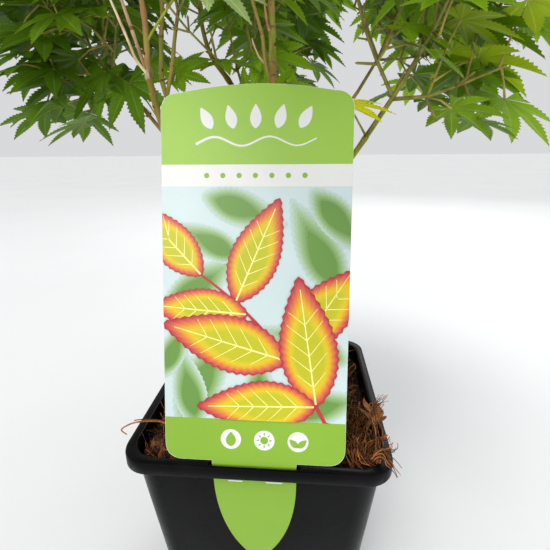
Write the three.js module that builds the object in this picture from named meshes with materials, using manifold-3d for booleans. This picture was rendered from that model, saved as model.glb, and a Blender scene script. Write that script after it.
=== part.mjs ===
// A young japanese maple in a square nursery pot. A short trunk forks just over the potting
// mix, thin boughs part upwards from it, and each carries a mass of palmate leaves.
// Millimetres, +Z up. The origin is the centre of the pot's flat underside, the front is -Y.

import * as THREE from "three";
import { mergeVertices } from "three/addons/utils/BufferGeometryUtils.js";
import Module from "manifold-3d";

const wasm = await Module();
wasm.setup();

const CLEARANCE = 0.3; // between any two sub-parts that meet

// Pot
const POT_HEIGHT = 110;
const RIM_WIDTH = 110;
const BASE_WIDTH = 83;
const WALL = 1.1;
const SKIRT_DEPTH = 5.4; // the rim turns down outside the wall
const SKIRT_WALL = 1;
const SKIRT_GAP = 2; // pocket between the skirt and the wall
const LEDGE = 1.2; // thickness of the rim's flat top
const CORNER_SHARE = 0.105; // corner radius as a share of the width
const CORNER_STEPS = 5;
const HOLE_RADIUS = 4;
const HOLE_GRID = [-28, 0, 28]; // the drain holes' places each way, the centre is left flat
const HOLE_SIDES = 12;

// Potting mix
const MIX_DEPTH = 5.4; // of its flat middle below the rim
const MIX_TOP = POT_HEIGHT - MIX_DEPTH;
const MIX_EDGE_DROP = 2;
const MIX_MOUND = 0.9;
const MIX_RINGS = [0.96, 0.78, 0.55, 0.3]; // shares of the width at the uneven top
const MIX_UNEVEN = 0.9;

// Label: one plate folded at the rim, its body leans back over the mix
const LABEL_WIDTH = 70;
const LABEL_HEIGHT = 143;
const LABEL_FOOT = 1.5; // the wide body starts this far over the rim
const LABEL_ARCH = 2.7; // rise of the top edge from its corners to its middle
const LABEL_CORNER = 7;
const LABEL_SHOULDER = 7;
const LABEL_THICKNESS = 0.6;
const LABEL_LEAN = THREE.MathUtils.degToRad(13);
const NECK_WIDTH = 33;
const TONGUE_REACH = 57.5;
const TONGUE_STRAIGHT = 10;
const SLOT_SPARE = 1.5; // slot beside each edge of the neck

// Trunk and boughs
const TRUNK_SIDES = 9;
const BOUGH_SIDES = 6;
const STEP_LENGTH = 11; // of a bough between two rings
const SAMPLES_PER_POINT = 16; // places on a limb at which clearances are measured
const STUB_STANDOFF = 2; // each bough's foot is one with the trunk until this far off it
const FINE_SHARE = 0.0005; // of a limb's curve, when its solid's ends are looked for
const FLARE_RADIUS = 6.6;
const FLARE_HEIGHT = 7;

// Leaves and twigs
const LEAF_LENGTH = 27; // from the stalk to the tip of the middle lobe
const LEAF_SPREAD = 0.3; // leaf lengths differ by this share
const LEAF_THICKNESS = 1; // at the stalk, thinning to the edge
const LEAF_TIP_DROP = 0.16; // of the lobe tips, as a share of the leaf's length
const LEAF_NOTCH_DROP = 0.05;
const STALK_LENGTH = 13;
const STALK_SPREAD = 8;
const STALK_RADIUS = 0.55;
const INTERNODE = 22;
const SIDE_INTERNODE = 15;
const SIDE_NODES = 2;
const TWIG_SIDES = 3;
const PAIR_SETBACK = 1.7; // of each leaf or side twig of a pair below the twig's node
const TWIG_TAPER = 0.85;
const TRIES = 6; // poses tried for each twig and leaf
const WANDER = 0.15; // of a twig or leaf from its way, as a share of its length
const WANDER_STEP = 0.1; // added to it on each further try
const TWIG_LIFT = 0.15; // turn towards the light at each node
const INTERNODE_SPREAD = 0.4; // internodes differ by this share
const BRANCH_FORWARD = 0.5; // a side twig's way along its parent, to one part sideways
const STALK_FORWARD = 0.35; // the same of a leaf's stalk
const STALK_LIFT = 0.25;
const LEAST_DROOP = 0.15; // fall of a blade over its length
const DROOP_SPREAD = 0.35;
const ROLL_SPREAD = 0.8; // radians that blades are rolled by, both ways together
const LOBE_HALF_WIDTH = 0.12; // as a share of the leaf's length
const LEAF_OVERLAP = 0.7; // two leaves may pass over each other beyond this share of their length
const SPACE_GAP = 2.4; // kept clear between two masses' spaces
const LIMB_GAP = 1.6;
const LABEL_GAP = 3;
const SHORTEST_EDGE = 0.05; // shorter ones are collapsed where leaves and twigs are joined

// Lobes of a leaf on one side: angle from the middle lobe and length, as a share of it
const LOBES = [
  { angle: 0, length: 1 },
  { angle: 42, length: 0.9 },
  { angle: 88, length: 0.64 },
];
const NOTCHES = [
  { angle: 19, length: 0.4 },
  { angle: 63, length: 0.34 },
];

const MATERIALS = {
  pot: { color: 0x17171a, roughness: 0.42, metalness: 0 },
  mix: { color: 0x4a2f1f, roughness: 0.95, metalness: 0 },
  label: { color: 0x8fc63f, roughness: 0.35, metalness: 0 },
  bark: { color: 0x8a6a48, roughness: 0.7, metalness: 0 },
  greenBark: { color: 0x8c9440, roughness: 0.55, metalness: 0 },
  deadWood: { color: 0xd9bb96, roughness: 0.8, metalness: 0 },
  leaf: { color: 0x3f8a22, roughness: 0.5, metalness: 0 },
  youngLeaf: { color: 0xb5c832, roughness: 0.5, metalness: 0 },
};

const UP = new THREE.Vector3(0, 0, 1);
const LEAF_OUTLINE = leafOutline();

// A point over the pot, its height counted from the rim
function over(x, y, height) {
  return new THREE.Vector3(x, y, POT_HEIGHT + height);
}

// Each limb is a smooth curve through its points, from its foot on the axis of the limb
// that it joins, at that limb's point with the number given. Radii are at foot and tip.
const LIMBS = [
  {
    name: "trunk",
    points: [over(1, 7, CLEARANCE - MIX_DEPTH), over(0, 6, 10), over(-0.5, 5.5, 18), over(0, 5, 25),
      over(1, 4, 32)],
    radii: [4.6, 3.2],
  },
  {
    name: "bough_left",
    joins: ["trunk", 1],
    points: [over(-9, 5, 22), over(-17, 4, 52), over(-29, 2.5, 90), over(-42.4, 1.2, 124),
      over(-47.1, 1, 146.4), over(-46.8, 1, 158.4), over(-46.9, 0, 173.2), over(-51, -5, 198),
      over(-60, -12, 218)],
    radii: [2.3, 0.9],
  },
  {
    name: "bough_inner_left",
    joins: ["trunk", 2],
    points: [over(-7, 12, 31), over(-14, 16, 62), over(-28, 14, 100), over(-43.6, 10.5, 139.5),
      over(-44.4, 11, 158), over(-42.4, 11.5, 177), over(-45, 20, 212), over(-48, 30, 252)],
    radii: [1.8, 0.75],
  },
  {
    name: "bough_fork",
    joins: ["bough_inner_left", 4],
    points: [over(-40.4, 10.5, 150.3), over(-38.2, 11, 162), over(-35.8, 11.5, 172.6)],
    radii: [1, 0.85],
  },
  {
    name: "bough_diagonal",
    joins: ["trunk", 3],
    points: [over(7, 11, 38), over(12, 18, 72), over(4, 26, 115), over(-18.1, 30, 147.3),
      over(-27.6, 32, 160.3), over(-31.9, 34, 175.4), over(-35, 44, 196), over(-44, 60, 214)],
    radii: [1.8, 0.75],
  },
  {
    name: "bough_middle",
    joins: ["trunk", 4],
    points: [over(2.5, 3, 60), over(5, 2, 105), over(4.3, 2, 142.6), over(4.1, 2, 161.9),
      over(3.8, 2, 182), over(6, 3, 212), over(8, 3, 244), over(13, 1, 266)],
    radii: [2.1, 0.8],
  },
  {
    name: "shoot_middle",
    joins: ["bough_middle", 3],
    points: [over(1.5, 2, 150.7), over(-1.6, 3, 163), over(-4.2, 2, 172.9), over(-5, -4, 184)],
    radii: [0.9, 0.7],
  },
  {
    name: "bough_right_high",
    joins: ["bough_middle", 5],
    points: [over(12, 6, 192), over(27, 9, 207), over(46, 9, 226)],
    radii: [1.1, 0.8],
  },
  {
    name: "bough_front",
    joins: ["bough_middle", 5],
    points: [over(-1, -6, 193), over(-4, -20, 203), over(-6, -42, 211)],
    radii: [1.1, 0.8],
  },
  {
    name: "bough_right",
    joins: ["trunk", 3],
    points: [over(8, -1, 36), over(16, -3, 66), over(27, -2, 97), over(43, 0, 122)],
    radii: [2, 1.1],
  },
  {
    name: "bough_back",
    joins: ["trunk", 1],
    points: [over(3, 15, 24), over(6, 28, 58), over(8, 44, 98), over(8, 58, 132),
      over(6, 70, 160)],
    radii: [2.1, 1],
  },
  {
    name: "bough_back_right",
    joins: ["bough_back", 3],
    points: [over(16, 48, 110), over(30, 51, 126), over(45, 53, 146)],
    radii: [1.3, 0.9],
  },
  {
    name: "bough_low_left",
    joins: ["bough_inner_left", 3],
    points: [over(-34, 18, 110), over(-48, 23, 122), over(-62, 26, 138)],
    radii: [1.2, 0.85],
  },
  {
    name: "shoot_low",
    joins: ["bough_diagonal", 3],
    points: [over(-3, 23, 125), over(-8, 19, 133)],
    radii: [0.9, 0.7],
    bark: "greenBark",
  },
  {
    name: "shoot_left",
    joins: ["bough_left", 6],
    points: [over(-43.6, 0, 162), over(-38.4, -1, 167.3), over(-33, -2, 172.5)],
    radii: [0.75, 0.6],
    bark: "greenBark",
  },
  {
    name: "dead_twig_long",
    joins: ["bough_left", 5],
    points: [over(-50.3, -2.5, 151.6), over(-52.7, -3, 158.6), over(-57.7, -3.5, 172.3),
      over(-61.5, -5, 183)],
    radii: [0.8, 0.5],
    bark: "deadWood",
  },
  {
    name: "dead_twig_short",
    joins: ["bough_left", 5],
    points: [over(-49.8, 2.5, 152.8), over(-53.7, 3.2, 165.5), over(-57.5, 4, 178)],
    radii: [0.95, 0.6],
    bark: "deadWood",
  },
];

// Each mass of foliage grows from the tip of one limb and keeps to its own space: nearer to
// its centre than to any other's, and within its reach of it. Its main twig has a number of nodes.
const MASSES = [
  { name: "leaves_left", limb: "bough_left", centre: over(-88, -24, 240), reach: 78, nodes: 3 },
  { name: "leaves_inner_left", limb: "bough_inner_left", centre: over(-50, 40, 300), reach: 76, nodes: 3 },
  { name: "leaves_fork", limb: "bough_fork", centre: over(-16, 0, 228), reach: 70, nodes: 2 },
  { name: "leaves_low_middle", limb: "shoot_low", centre: over(-8, 18, 142), reach: 58, nodes: 2 },
  { name: "leaves_diagonal", limb: "bough_diagonal", centre: over(-60, 92, 242), reach: 74, nodes: 3 },
  { name: "leaves_top", limb: "bough_middle", centre: over(24, -4, 305), reach: 78, nodes: 3 },
  { name: "leaves_right_high", limb: "bough_right_high", centre: over(84, 4, 250), reach: 76, nodes: 3 },
  { name: "leaves_front", limb: "bough_front", centre: over(-6, -76, 230), reach: 74, nodes: 3 },
  {
    name: "leaves_right",
    limb: "bough_right",
    centre: over(84, -8, 166),
    reach: 76,
    nodes: 3,
    look: "youngLeaf",
  },
  { name: "leaves_back", limb: "bough_back", centre: over(4, 100, 196), reach: 76, nodes: 3 },
  {
    name: "leaves_back_right",
    limb: "bough_back_right",
    centre: over(82, 80, 182),
    reach: 74,
    nodes: 3,
  },
  { name: "leaves_low_left", limb: "bough_low_left", centre: over(-98, 32, 164), reach: 76, nodes: 3 },
];
const FIRST_SEED = 64;
const SEED_STEP = 977; // from one mass to the next

// Solids

function weld(geometry) {
  geometry.deleteAttribute("normal");
  geometry.deleteAttribute("uv");
  return mergeVertices(geometry, 1e-4);
}

function solid(geometry) {
  const welded = weld(geometry.clone());
  return new wasm.Manifold(
    new wasm.Mesh({
      numProp: 3,
      vertProperties: new Float32Array(welded.getAttribute("position").array),
      triVerts: new Uint32Array(welded.index.array),
    }),
  );
}

function geometryOf(manifold) {
  const { vertProperties, triVerts } = manifold.getMesh();
  return new THREE.BufferGeometry()
    .setAttribute("position", new THREE.BufferAttribute(new Float32Array(vertProperties), 3))
    .setIndex(new THREE.BufferAttribute(new Uint32Array(triVerts), 1));
}

// A closed skin over rings of points, with a flat cap on the first and the last ring
function loft(rings) {
  const size = rings[0].length;
  const indices = [];
  for (let level = 0; level + 1 < rings.length; level++)
    for (let i = 0; i < size; i++) {
      const a = level * size + i;
      const b = level * size + ((i + 1) % size);
      indices.push(a, b, b + size, a, b + size, a + size);
    }
  const last = (rings.length - 1) * size;
  for (let i = 1; i + 1 < size; i++) {
    indices.push(0, i + 1, i);
    indices.push(last, last + i, last + i + 1);
  }
  return new THREE.BufferGeometry().setFromPoints(rings.flat()).setIndex(indices);
}

function roundedSquare(width, z) {
  const radius = width * CORNER_SHARE;
  const arm = width / 2 - radius;
  const points = [];
  for (let corner = 0; corner < 4; corner++) {
    const middle = ((corner + 0.5) * Math.PI) / 2;
    const x = Math.sign(Math.cos(middle)) * arm;
    const y = Math.sign(Math.sin(middle)) * arm;
    for (let step = 0; step <= CORNER_STEPS; step++) {
      const angle = ((corner + step / CORNER_STEPS) * Math.PI) / 2;
      points.push(new THREE.Vector3(x + radius * Math.cos(angle), y + radius * Math.sin(angle), z));
    }
  }
  return points;
}

// Pot, potting mix and label

const LEDGE_UNDERSIDE = POT_HEIGHT - LEDGE;
const WALL_TOP_WIDTH = RIM_WIDTH - 2 * (SKIRT_WALL + SKIRT_GAP);

function wallWidth(z) {
  return THREE.MathUtils.lerp(BASE_WIDTH, WALL_TOP_WIDTH, z / LEDGE_UNDERSIDE);
}

function makePot() {
  const edge = 0.6; // broken edges of the rim and the foot
  const skirtFoot = POT_HEIGHT - SKIRT_DEPTH;
  const inside = RIM_WIDTH - 2 * SKIRT_WALL;
  const shell = loft([
    roundedSquare(BASE_WIDTH - 2 * edge, 0),
    roundedSquare(wallWidth(edge), edge),
    roundedSquare(wallWidth(LEDGE_UNDERSIDE), LEDGE_UNDERSIDE),
    roundedSquare(inside, LEDGE_UNDERSIDE),
    roundedSquare(inside, skirtFoot),
    roundedSquare(RIM_WIDTH, skirtFoot),
    roundedSquare(RIM_WIDTH, POT_HEIGHT - edge),
    roundedSquare(RIM_WIDTH - 2 * edge, POT_HEIGHT),
    roundedSquare(wallWidth(POT_HEIGHT) - 2 * WALL + 2 * edge, POT_HEIGHT),
    roundedSquare(wallWidth(POT_HEIGHT - edge) - 2 * WALL, POT_HEIGHT - edge),
    roundedSquare(wallWidth(WALL) - 2 * WALL, WALL),
  ]);
  const cuts = [labelSlot()];
  for (const x of HOLE_GRID)
    for (const y of HOLE_GRID)
      if (x !== 0 || y !== 0) cuts.push(drainHole(x, y));
  return geometryOf(cuts.reduce((pot, cut) => pot.subtract(cut), solid(shell)));
}

function drainHole(x, y) {
  const hole = new THREE.CylinderGeometry(HOLE_RADIUS, HOLE_RADIUS, 4 * WALL, HOLE_SIDES);
  return solid(hole.rotateX(Math.PI / 2).translate(x, y, 0));
}

function labelSlot() {
  const spare = 0.05;
  const depth = SKIRT_GAP - 2 * spare;
  const slot = new THREE.BoxGeometry(NECK_WIDTH + 2 * SLOT_SPARE, depth, 3 * LEDGE);
  return solid(slot.translate(0, -(WALL_TOP_WIDTH + SKIRT_GAP) / 2, POT_HEIGHT));
}

function makeMix() {
  const random = seeded(7);
  const foot = WALL + CLEARANCE;
  const inner = (z) => wallWidth(z) - 2 * WALL - 2 * CLEARANCE;
  const edgeZ = MIX_TOP - MIX_EDGE_DROP;
  const rings = [roundedSquare(inner(foot), foot), roundedSquare(inner(edgeZ), edgeZ)];
  MIX_RINGS.forEach((share, i) => {
    const isMiddle = i === MIX_RINGS.length - 1;
    const z = isMiddle ? MIX_TOP : edgeZ + MIX_MOUND * (i + 1);
    const ring = roundedSquare(inner(edgeZ) * share, z);
    if (!isMiddle) for (const point of ring) point.z += MIX_UNEVEN * (random() - 0.5);
    rings.push(ring);
  });
  return loft(rings);
}

// A plate of the label, its outline drawn in width and height over the fold at the rim
function labelPlate(outline, lean) {
  const fold = wallWidth(POT_HEIGHT) / 2 + CLEARANCE + LABEL_THICKNESS / 2;
  const plate = new THREE.ExtrudeGeometry(outline, {
    depth: LABEL_THICKNESS,
    bevelEnabled: false,
    curveSegments: 8,
  });
  plate.translate(0, 0, -LABEL_THICKNESS / 2);
  plate.rotateX(Math.PI / 2 - lean);
  return solid(plate.translate(0, -fold, POT_HEIGHT));
}

function makeLabel() {
  const half = LABEL_WIDTH / 2;
  const neck = NECK_WIDTH / 2;
  const side = LABEL_HEIGHT - LABEL_ARCH;
  const sunk = LABEL_THICKNESS / 2;

  const body = new THREE.Shape();
  body.moveTo(neck, -sunk);
  body.lineTo(neck, LABEL_FOOT);
  body.lineTo(half - LABEL_SHOULDER, LABEL_FOOT);
  body.quadraticCurveTo(half, LABEL_FOOT, half, LABEL_FOOT + LABEL_SHOULDER);
  body.lineTo(half, side - LABEL_CORNER);
  body.quadraticCurveTo(half, side, half - LABEL_CORNER, side);
  body.quadraticCurveTo(0, LABEL_HEIGHT + LABEL_ARCH, LABEL_CORNER - half, side);
  body.quadraticCurveTo(-half, side, -half, side - LABEL_CORNER);
  body.lineTo(-half, LABEL_FOOT + LABEL_SHOULDER);
  body.quadraticCurveTo(-half, LABEL_FOOT, LABEL_SHOULDER - half, LABEL_FOOT);
  body.lineTo(-neck, LABEL_FOOT);
  body.lineTo(-neck, -sunk);

  // The tongue narrows to its tip by curves drawn towards these widths and depths
  const waist = 0.5 * TONGUE_REACH;
  const jaw = 0.84 * TONGUE_REACH;
  const cheek = 0.7 * neck;
  const tongue = new THREE.Shape();
  tongue.moveTo(-neck, sunk / 2);
  tongue.lineTo(-neck, -TONGUE_STRAIGHT);
  tongue.bezierCurveTo(-neck, -waist, -cheek, -jaw, 0, -TONGUE_REACH);
  tongue.bezierCurveTo(cheek, -jaw, neck, -waist, neck, -TONGUE_STRAIGHT);
  tongue.lineTo(neck, sunk / 2);

  const wallSlope = Math.atan((WALL_TOP_WIDTH - BASE_WIDTH) / 2 / LEDGE_UNDERSIDE);
  return geometryOf(labelPlate(body, LABEL_LEAN).add(labelPlate(tongue, -wallSlope)));
}

// Trunk and boughs

// A limb's curve, and its radius by the share of the curve passed
class Limb {
  constructor({ name, joins, points, radii, bark = "bark" }, limbs) {
    this.name = name;
    this.parent = joins ? limbs.get(joins[0]) : null;
    this.points = this.parent ? [this.parent.points[joins[1]], ...points] : points;
    this.radii = radii;
    this.bark = bark;
    this.curve = new THREE.CatmullRomCurve3(this.points, false, "catmullrom", 0.5);
    this.length = this.curve.getLength();
  }

  radius(share) {
    return THREE.MathUtils.lerp(this.radii[0], this.radii[1], share);
  }

  samples() {
    const count = SAMPLES_PER_POINT * (this.points.length - 1);
    return Array.from({ length: count + 1 }, (_, i) => ({
      point: this.curve.getPoint(i / count),
      radius: this.radius(i / count),
    }));
  }

  // A closed cylinder bent along the curve between two shares of it
  tube(from, to, sides) {
    const steps = Math.max(1, Math.round(((to - from) * this.length) / STEP_LENGTH));
    const tube = weld(new THREE.CylinderGeometry(1, 1, 1, sides, steps));
    const across = new THREE.Vector3(1, 0, 0);
    const position = tube.getAttribute("position");
    for (let i = 0; i < position.count; i++) {
      const share = THREE.MathUtils.lerp(from, to, position.getY(i) + 0.5);
      const along = this.curve.getTangent(share);
      const side = across.clone().cross(along).normalize();
      const other = side.clone().cross(along);
      const radius = this.radius(share);
      const point = this.curve
        .getPoint(share)
        .addScaledVector(side, position.getX(i) * radius)
        .addScaledVector(other, position.getZ(i) * radius);
      position.setXYZ(i, point.x, point.y, point.z);
    }
    return tube;
  }

  // The first share of the curve at which a flat end stands off the parent by a gap
  shareOff(parent, gap) {
    const surface = parent.samples();
    for (let share = 0; share < 1; share += FINE_SHARE) {
      const centre = this.curve.getPoint(share);
      const along = this.curve.getTangent(share);
      const isClear = surface.every(({ point, radius }) => {
        const offset = centre.clone().sub(point);
        const lift = offset.dot(along);
        const flat = offset.addScaledVector(along, -lift).length();
        return Math.hypot(lift, Math.max(0, flat - this.radius(share))) > radius + gap;
      });
      if (isClear) return share;
    }
    throw new Error(this.name + " never leaves " + parent.name);
  }

  // Where the trunk's stub of this bough ends
  stubEnd() {
    return this.shareOff(this.parent, STUB_STANDOFF);
  }

  // Where this limb's own solid starts
  start() {
    if (!this.parent) return 0;
    if (this.parent.parent) return this.shareOff(this.parent, 2 * CLEARANCE);
    const end = this.stubEnd();
    const face = this.curve.getPoint(end);
    let share = end;
    while (this.curve.getPoint(share).distanceTo(face) < CLEARANCE) share += FINE_SHARE;
    return share;
  }
}

// The trunk with its root flare and the boughs' feet, cut off flat at the ground
function makeTrunk(trunk, limbs) {
  const foot = trunk.points[0];
  const flareTop = trunk.radius(FLARE_HEIGHT / trunk.length);
  const flare = new THREE.CylinderGeometry(flareTop, FLARE_RADIUS, FLARE_HEIGHT, TRUNK_SIDES);
  flare.rotateX(Math.PI / 2).translate(foot.x, foot.y, foot.z + FLARE_HEIGHT / 2);
  const below = 4 * FLARE_RADIUS;
  const ground = new THREE.BoxGeometry(below, below, below);
  ground.translate(foot.x, foot.y, foot.z - below / 2);
  const stubs = limbs
    .filter((limb) => limb.parent === trunk)
    .map((limb) => solid(limb.tube(0, limb.stubEnd(), BOUGH_SIDES)));
  const stem = solid(trunk.tube(0, 1, TRUNK_SIDES)).add(solid(flare));
  return geometryOf(stubs.reduce((sum, stub) => sum.add(stub), stem).subtract(solid(ground)));
}

// Foliage

// The same numbers from 0 to 1 on every run
function seeded(seed) {
  let state = seed;
  return () => {
    state = (Math.imul(state, 1664525) + 1013904223) >>> 0;
    return state / 2 ** 32;
  };
}

// The outline of a leaf of length 1 in its own plane, stalk at the origin, middle lobe along +X
function leafOutline() {
  const at = ({ angle, length }, drop) => {
    const turn = THREE.MathUtils.degToRad(angle);
    return new THREE.Vector3(length * Math.cos(turn), length * Math.sin(turn), -drop);
  };
  const half = [];
  LOBES.forEach((lobe, i) => {
    half.push(at(lobe, LEAF_TIP_DROP * lobe.length));
    if (i < NOTCHES.length) half.push(at(NOTCHES[i], LEAF_NOTCH_DROP));
  });
  const mirrored = half
    .slice(1)
    .reverse()
    .map((point) => new THREE.Vector3(point.x, -point.y, point.z));
  return [...half, ...mirrored];
}

// A spray grown from a limb's tip: pairs of opposite side twigs and leaves, each pair turned a
// quarter from the last. A twig or leaf that would leave the space, or touch a limb, the label
// or another leaf is tried in a few more poses and then skipped.
class Spray {
  constructor(mass, index, masses, limbs) {
    this.mass = mass;
    this.others = masses.filter((other) => other !== mass);
    this.limbPoints = limbs.flatMap((limb) => limb.samples());
    this.random = seeded(FIRST_SEED + SEED_STEP * index);
    this.twigs = [];
    this.leaves = [];
    const limb = limbs.find((candidate) => candidate.name === mass.limb);
    const tip = limb.points[limb.points.length - 1];
    const along = limb.curve.getTangent(1);
    const start = tip.clone().addScaledVector(along, CLEARANCE);
    const aim = mass.centre.clone().sub(start).normalize().add(along).normalize();
    this.shoot({ point: start, radius: limb.radii[1], along }, aim, mass.nodes, INTERNODE);
  }

  // A direction turned by chance, further on each further try
  wander(direction, attempt) {
    const chance = () => 2 * this.random() - 1;
    const turn = new THREE.Vector3(chance(), chance(), chance());
    return turn.multiplyScalar(WANDER + WANDER_STEP * attempt).add(direction);
  }

  // A factor round 1
  spread(share) {
    return 1 + share * (this.random() - 0.5);
  }

  shoot(foot, direction, nodes, internode) {
    const isMain = internode === INTERNODE;
    const twig = [foot];
    const side = direction.clone().cross(UP).normalize();
    let along = direction;
    for (let node = 1; node <= nodes; node++) {
      const next = this.nextNode(twig[twig.length - 1], along, internode);
      if (!next) break;
      twig.push(next);
      along = next.along;
      side.cross(along).normalize();
      [1, -1].forEach((way, i) => {
        const out = side.clone().multiplyScalar(way);
        const point = next.point.clone().addScaledVector(along, -PAIR_SETBACK * (i + 1));
        if (isMain && node < nodes) {
          const branch = out.addScaledVector(along, BRANCH_FORWARD).normalize();
          const base = { point, along: branch, radius: next.radius * TWIG_TAPER };
          this.shoot(base, branch, SIDE_NODES, SIDE_INTERNODE);
        } else this.addLeaf(point, along, out);
      });
    }
    if (twig.length === 1) return;
    this.twigs.push(twig);
    const end = twig[twig.length - 1].point.clone().addScaledVector(along, -2 * STALK_RADIUS);
    this.addLeaf(end, along, along);
  }

  // The next node of a twig, or nothing where no pose of it is free
  nextNode(from, direction, internode) {
    for (let attempt = 0; attempt < TRIES; attempt++) {
      const along = this.wander(direction, attempt).addScaledVector(UP, TWIG_LIFT).normalize();
      const reach = internode * this.spread(INTERNODE_SPREAD);
      const point = from.point.clone().addScaledVector(along, reach);
      const radius = from.radius * TWIG_TAPER;
      const middle = from.point.clone().lerp(point, 0.5);
      if (this.isFree(point, radius) && this.isFree(middle, radius)) return { point, radius, along };
    }
    return null;
  }

  addLeaf(from, along, out) {
    for (let attempt = 0; attempt < TRIES; attempt++) {
      const leaf = this.leafPose(from, along, this.wander(out, attempt));
      if (!this.leafFits(leaf)) continue;
      this.leaves.push(leaf);
      return;
    }
  }

  leafPose(from, along, out) {
    const length = LEAF_LENGTH * this.spread(LEAF_SPREAD);
    const stalk = STALK_LENGTH + STALK_SPREAD * this.random();
    const droop = LEAST_DROOP + DROOP_SPREAD * this.random();
    const roll = ROLL_SPREAD * (this.random() - 0.5);
    const rise = out.normalize().addScaledVector(along, STALK_FORWARD).addScaledVector(UP, STALK_LIFT);
    const junction = from.clone().addScaledVector(rise.normalize(), stalk);
    const heading = new THREE.Vector3(rise.x, rise.y, 0).normalize();
    heading.addScaledVector(UP, -droop).normalize();
    const across = UP.clone().cross(heading).normalize().applyAxisAngle(heading, roll);
    const normal = heading.clone().cross(across);
    const turn = new THREE.Matrix4().makeBasis(heading, across, normal);
    const place = (point) => point.clone().applyMatrix4(turn).add(junction);
    const outline = LEAF_OUTLINE.map((point) => place(point.clone().multiplyScalar(length)));
    return { from, junction, normal, outline, rise, length, place };
  }

  leafFits(leaf) {
    const between = leaf.outline.map((point) => point.clone().lerp(leaf.junction, 0.5));
    const stalk = leaf.from.clone().lerp(leaf.junction, 0.6);
    return (
      [stalk, leaf.junction, ...leaf.outline, ...between].every((point) => this.isFree(point, 0)) &&
      this.limbPoints.every(({ point, radius }) => clearOfLeaf(point, leaf, radius + LIMB_GAP)) &&
      this.leaves.every((other) => !crosses(leaf, other) && !crosses(other, leaf))
    );
  }

  // Whether a point is in this mass's space and off the limbs and the label
  isFree(point, radius) {
    const own = point.distanceTo(this.mass.centre);
    return (
      own < this.mass.reach &&
      this.others.every((other) => point.distanceTo(other.centre) - own > SPACE_GAP) &&
      this.limbPoints.every((limb) => point.distanceTo(limb.point) > limb.radius + radius + LIMB_GAP) &&
      clearOfLabel(point)
    );
  }

  // Twigs and leaves as one body, without slivers and with pockets between leaves filled
  solid() {
    const bodies = [...this.twigs.map(twigGeometry), ...this.leaves.map(leafGeometry)].map(solid);
    const joined = bodies.reduce((sum, body) => sum.add(body)).simplify(SHORTEST_EDGE);
    return joined.decompose().reduce((most, body) => (body.volume() > most.volume() ? body : most));
  }
}

// Behind the label's plate, or over it
function clearOfLabel(point) {
  const height = point.z - POT_HEIGHT;
  const plate = Math.tan(LABEL_LEAN) * height - RIM_WIDTH / 2;
  return height > LABEL_HEIGHT + LABEL_GAP || point.y > plate + 2 * LABEL_GAP;
}

// Whether a point is further than a distance from a leaf's stalk and each of its lobes
function clearOfLeaf(point, { from, junction, outline, length }, distance) {
  const near = new THREE.Vector3();
  return [from, ...outline].every((end, i) => {
    const isNotch = i > 0 && i % 2 === 0;
    if (isNotch) return true;
    const halfWidth = i === 0 ? STALK_RADIUS : LOBE_HALF_WIDTH * length;
    new THREE.Line3(junction, end).closestPointToPoint(point, true, near);
    return near.distanceTo(point) > distance + halfWidth;
  });
}

// Whether a spoke of one leaf passes through the other's disc
function crosses(leaf, other) {
  const start = leaf.junction.clone().sub(other.junction).dot(other.normal);
  return leaf.outline.some((point) => {
    const end = point.clone().sub(other.junction).dot(other.normal);
    if (start * end > 0) return false;
    const hit = leaf.junction.clone().lerp(point, start / (start - end));
    return hit.distanceTo(other.junction) < LEAF_OVERLAP * other.length;
  });
}

// The corners of a twig or stalk round its axis, the first towards the first direction
function section(centre, first, second, radius) {
  return Array.from({ length: TWIG_SIDES }, (_, i) => {
    const angle = (2 * Math.PI * i) / TWIG_SIDES;
    const x = radius * Math.cos(angle);
    const y = radius * Math.sin(angle);
    return centre.clone().addScaledVector(first, x).addScaledVector(second, y);
  });
}

function twigGeometry(nodes) {
  const rings = nodes.map(({ point, radius, along }) => {
    const side = new THREE.Vector3(0.3, 1, 0.1).cross(along).normalize();
    return section(point, side, along.clone().cross(side), radius);
  });
  return loft(rings);
}

// A leaf on its stalk, in one closed skin. The blade's outline is joined to a point over and a
// point under the stalk's end, and the stalk leaves by the face under the blade's base.
function leafGeometry({ from, outline, rise, place }) {
  const top = place(new THREE.Vector3(0, 0, LEAF_THICKNESS * 0.4));
  const under = place(new THREE.Vector3(0, 0, -LEAF_THICKNESS * 0.6));
  const left = place(new THREE.Vector3(-STALK_RADIUS, STALK_RADIUS, 0));
  const right = place(new THREE.Vector3(-STALK_RADIUS, -STALK_RADIUS, 0));
  const across = left.clone().sub(right);
  across.addScaledVector(rise, -across.dot(rise)).normalize();
  const foot = section(from, across.clone().cross(rise), across, STALK_RADIUS);
  const half = (outline.length + 1) / 2;
  const edge = [...outline.slice(0, half), left, right, ...outline.slice(half)];
  const count = edge.length;
  const points = [...edge, top, under, ...foot];
  const [topAt, underAt, footAt] = [count, count + 1, count + 2];
  const indices = [];
  for (let i = 0; i < count; i++) {
    const next = (i + 1) % count;
    indices.push(topAt, i, next);
    if (i !== half) indices.push(underAt, next, i);
  }
  const ring = [underAt, half, half + 1];
  for (let i = 0; i < 3; i++) {
    const next = (i + 1) % 3;
    indices.push(ring[i], footAt + i, footAt + next, ring[i], footAt + next, ring[next]);
  }
  indices.push(footAt, footAt + 2, footAt + 1);
  return new THREE.BufferGeometry().setFromPoints(points).setIndex(indices);
}

// Assembly

const plant = new THREE.Group();

function add(name, geometry, look) {
  const mesh = new THREE.Mesh(geometry, new THREE.MeshStandardMaterial(MATERIALS[look]));
  mesh.name = name;
  plant.add(mesh);
}

add("pot", makePot(), "pot");
add("potting_mix", makeMix(), "mix");
add("plant_label", makeLabel(), "label");

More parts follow.
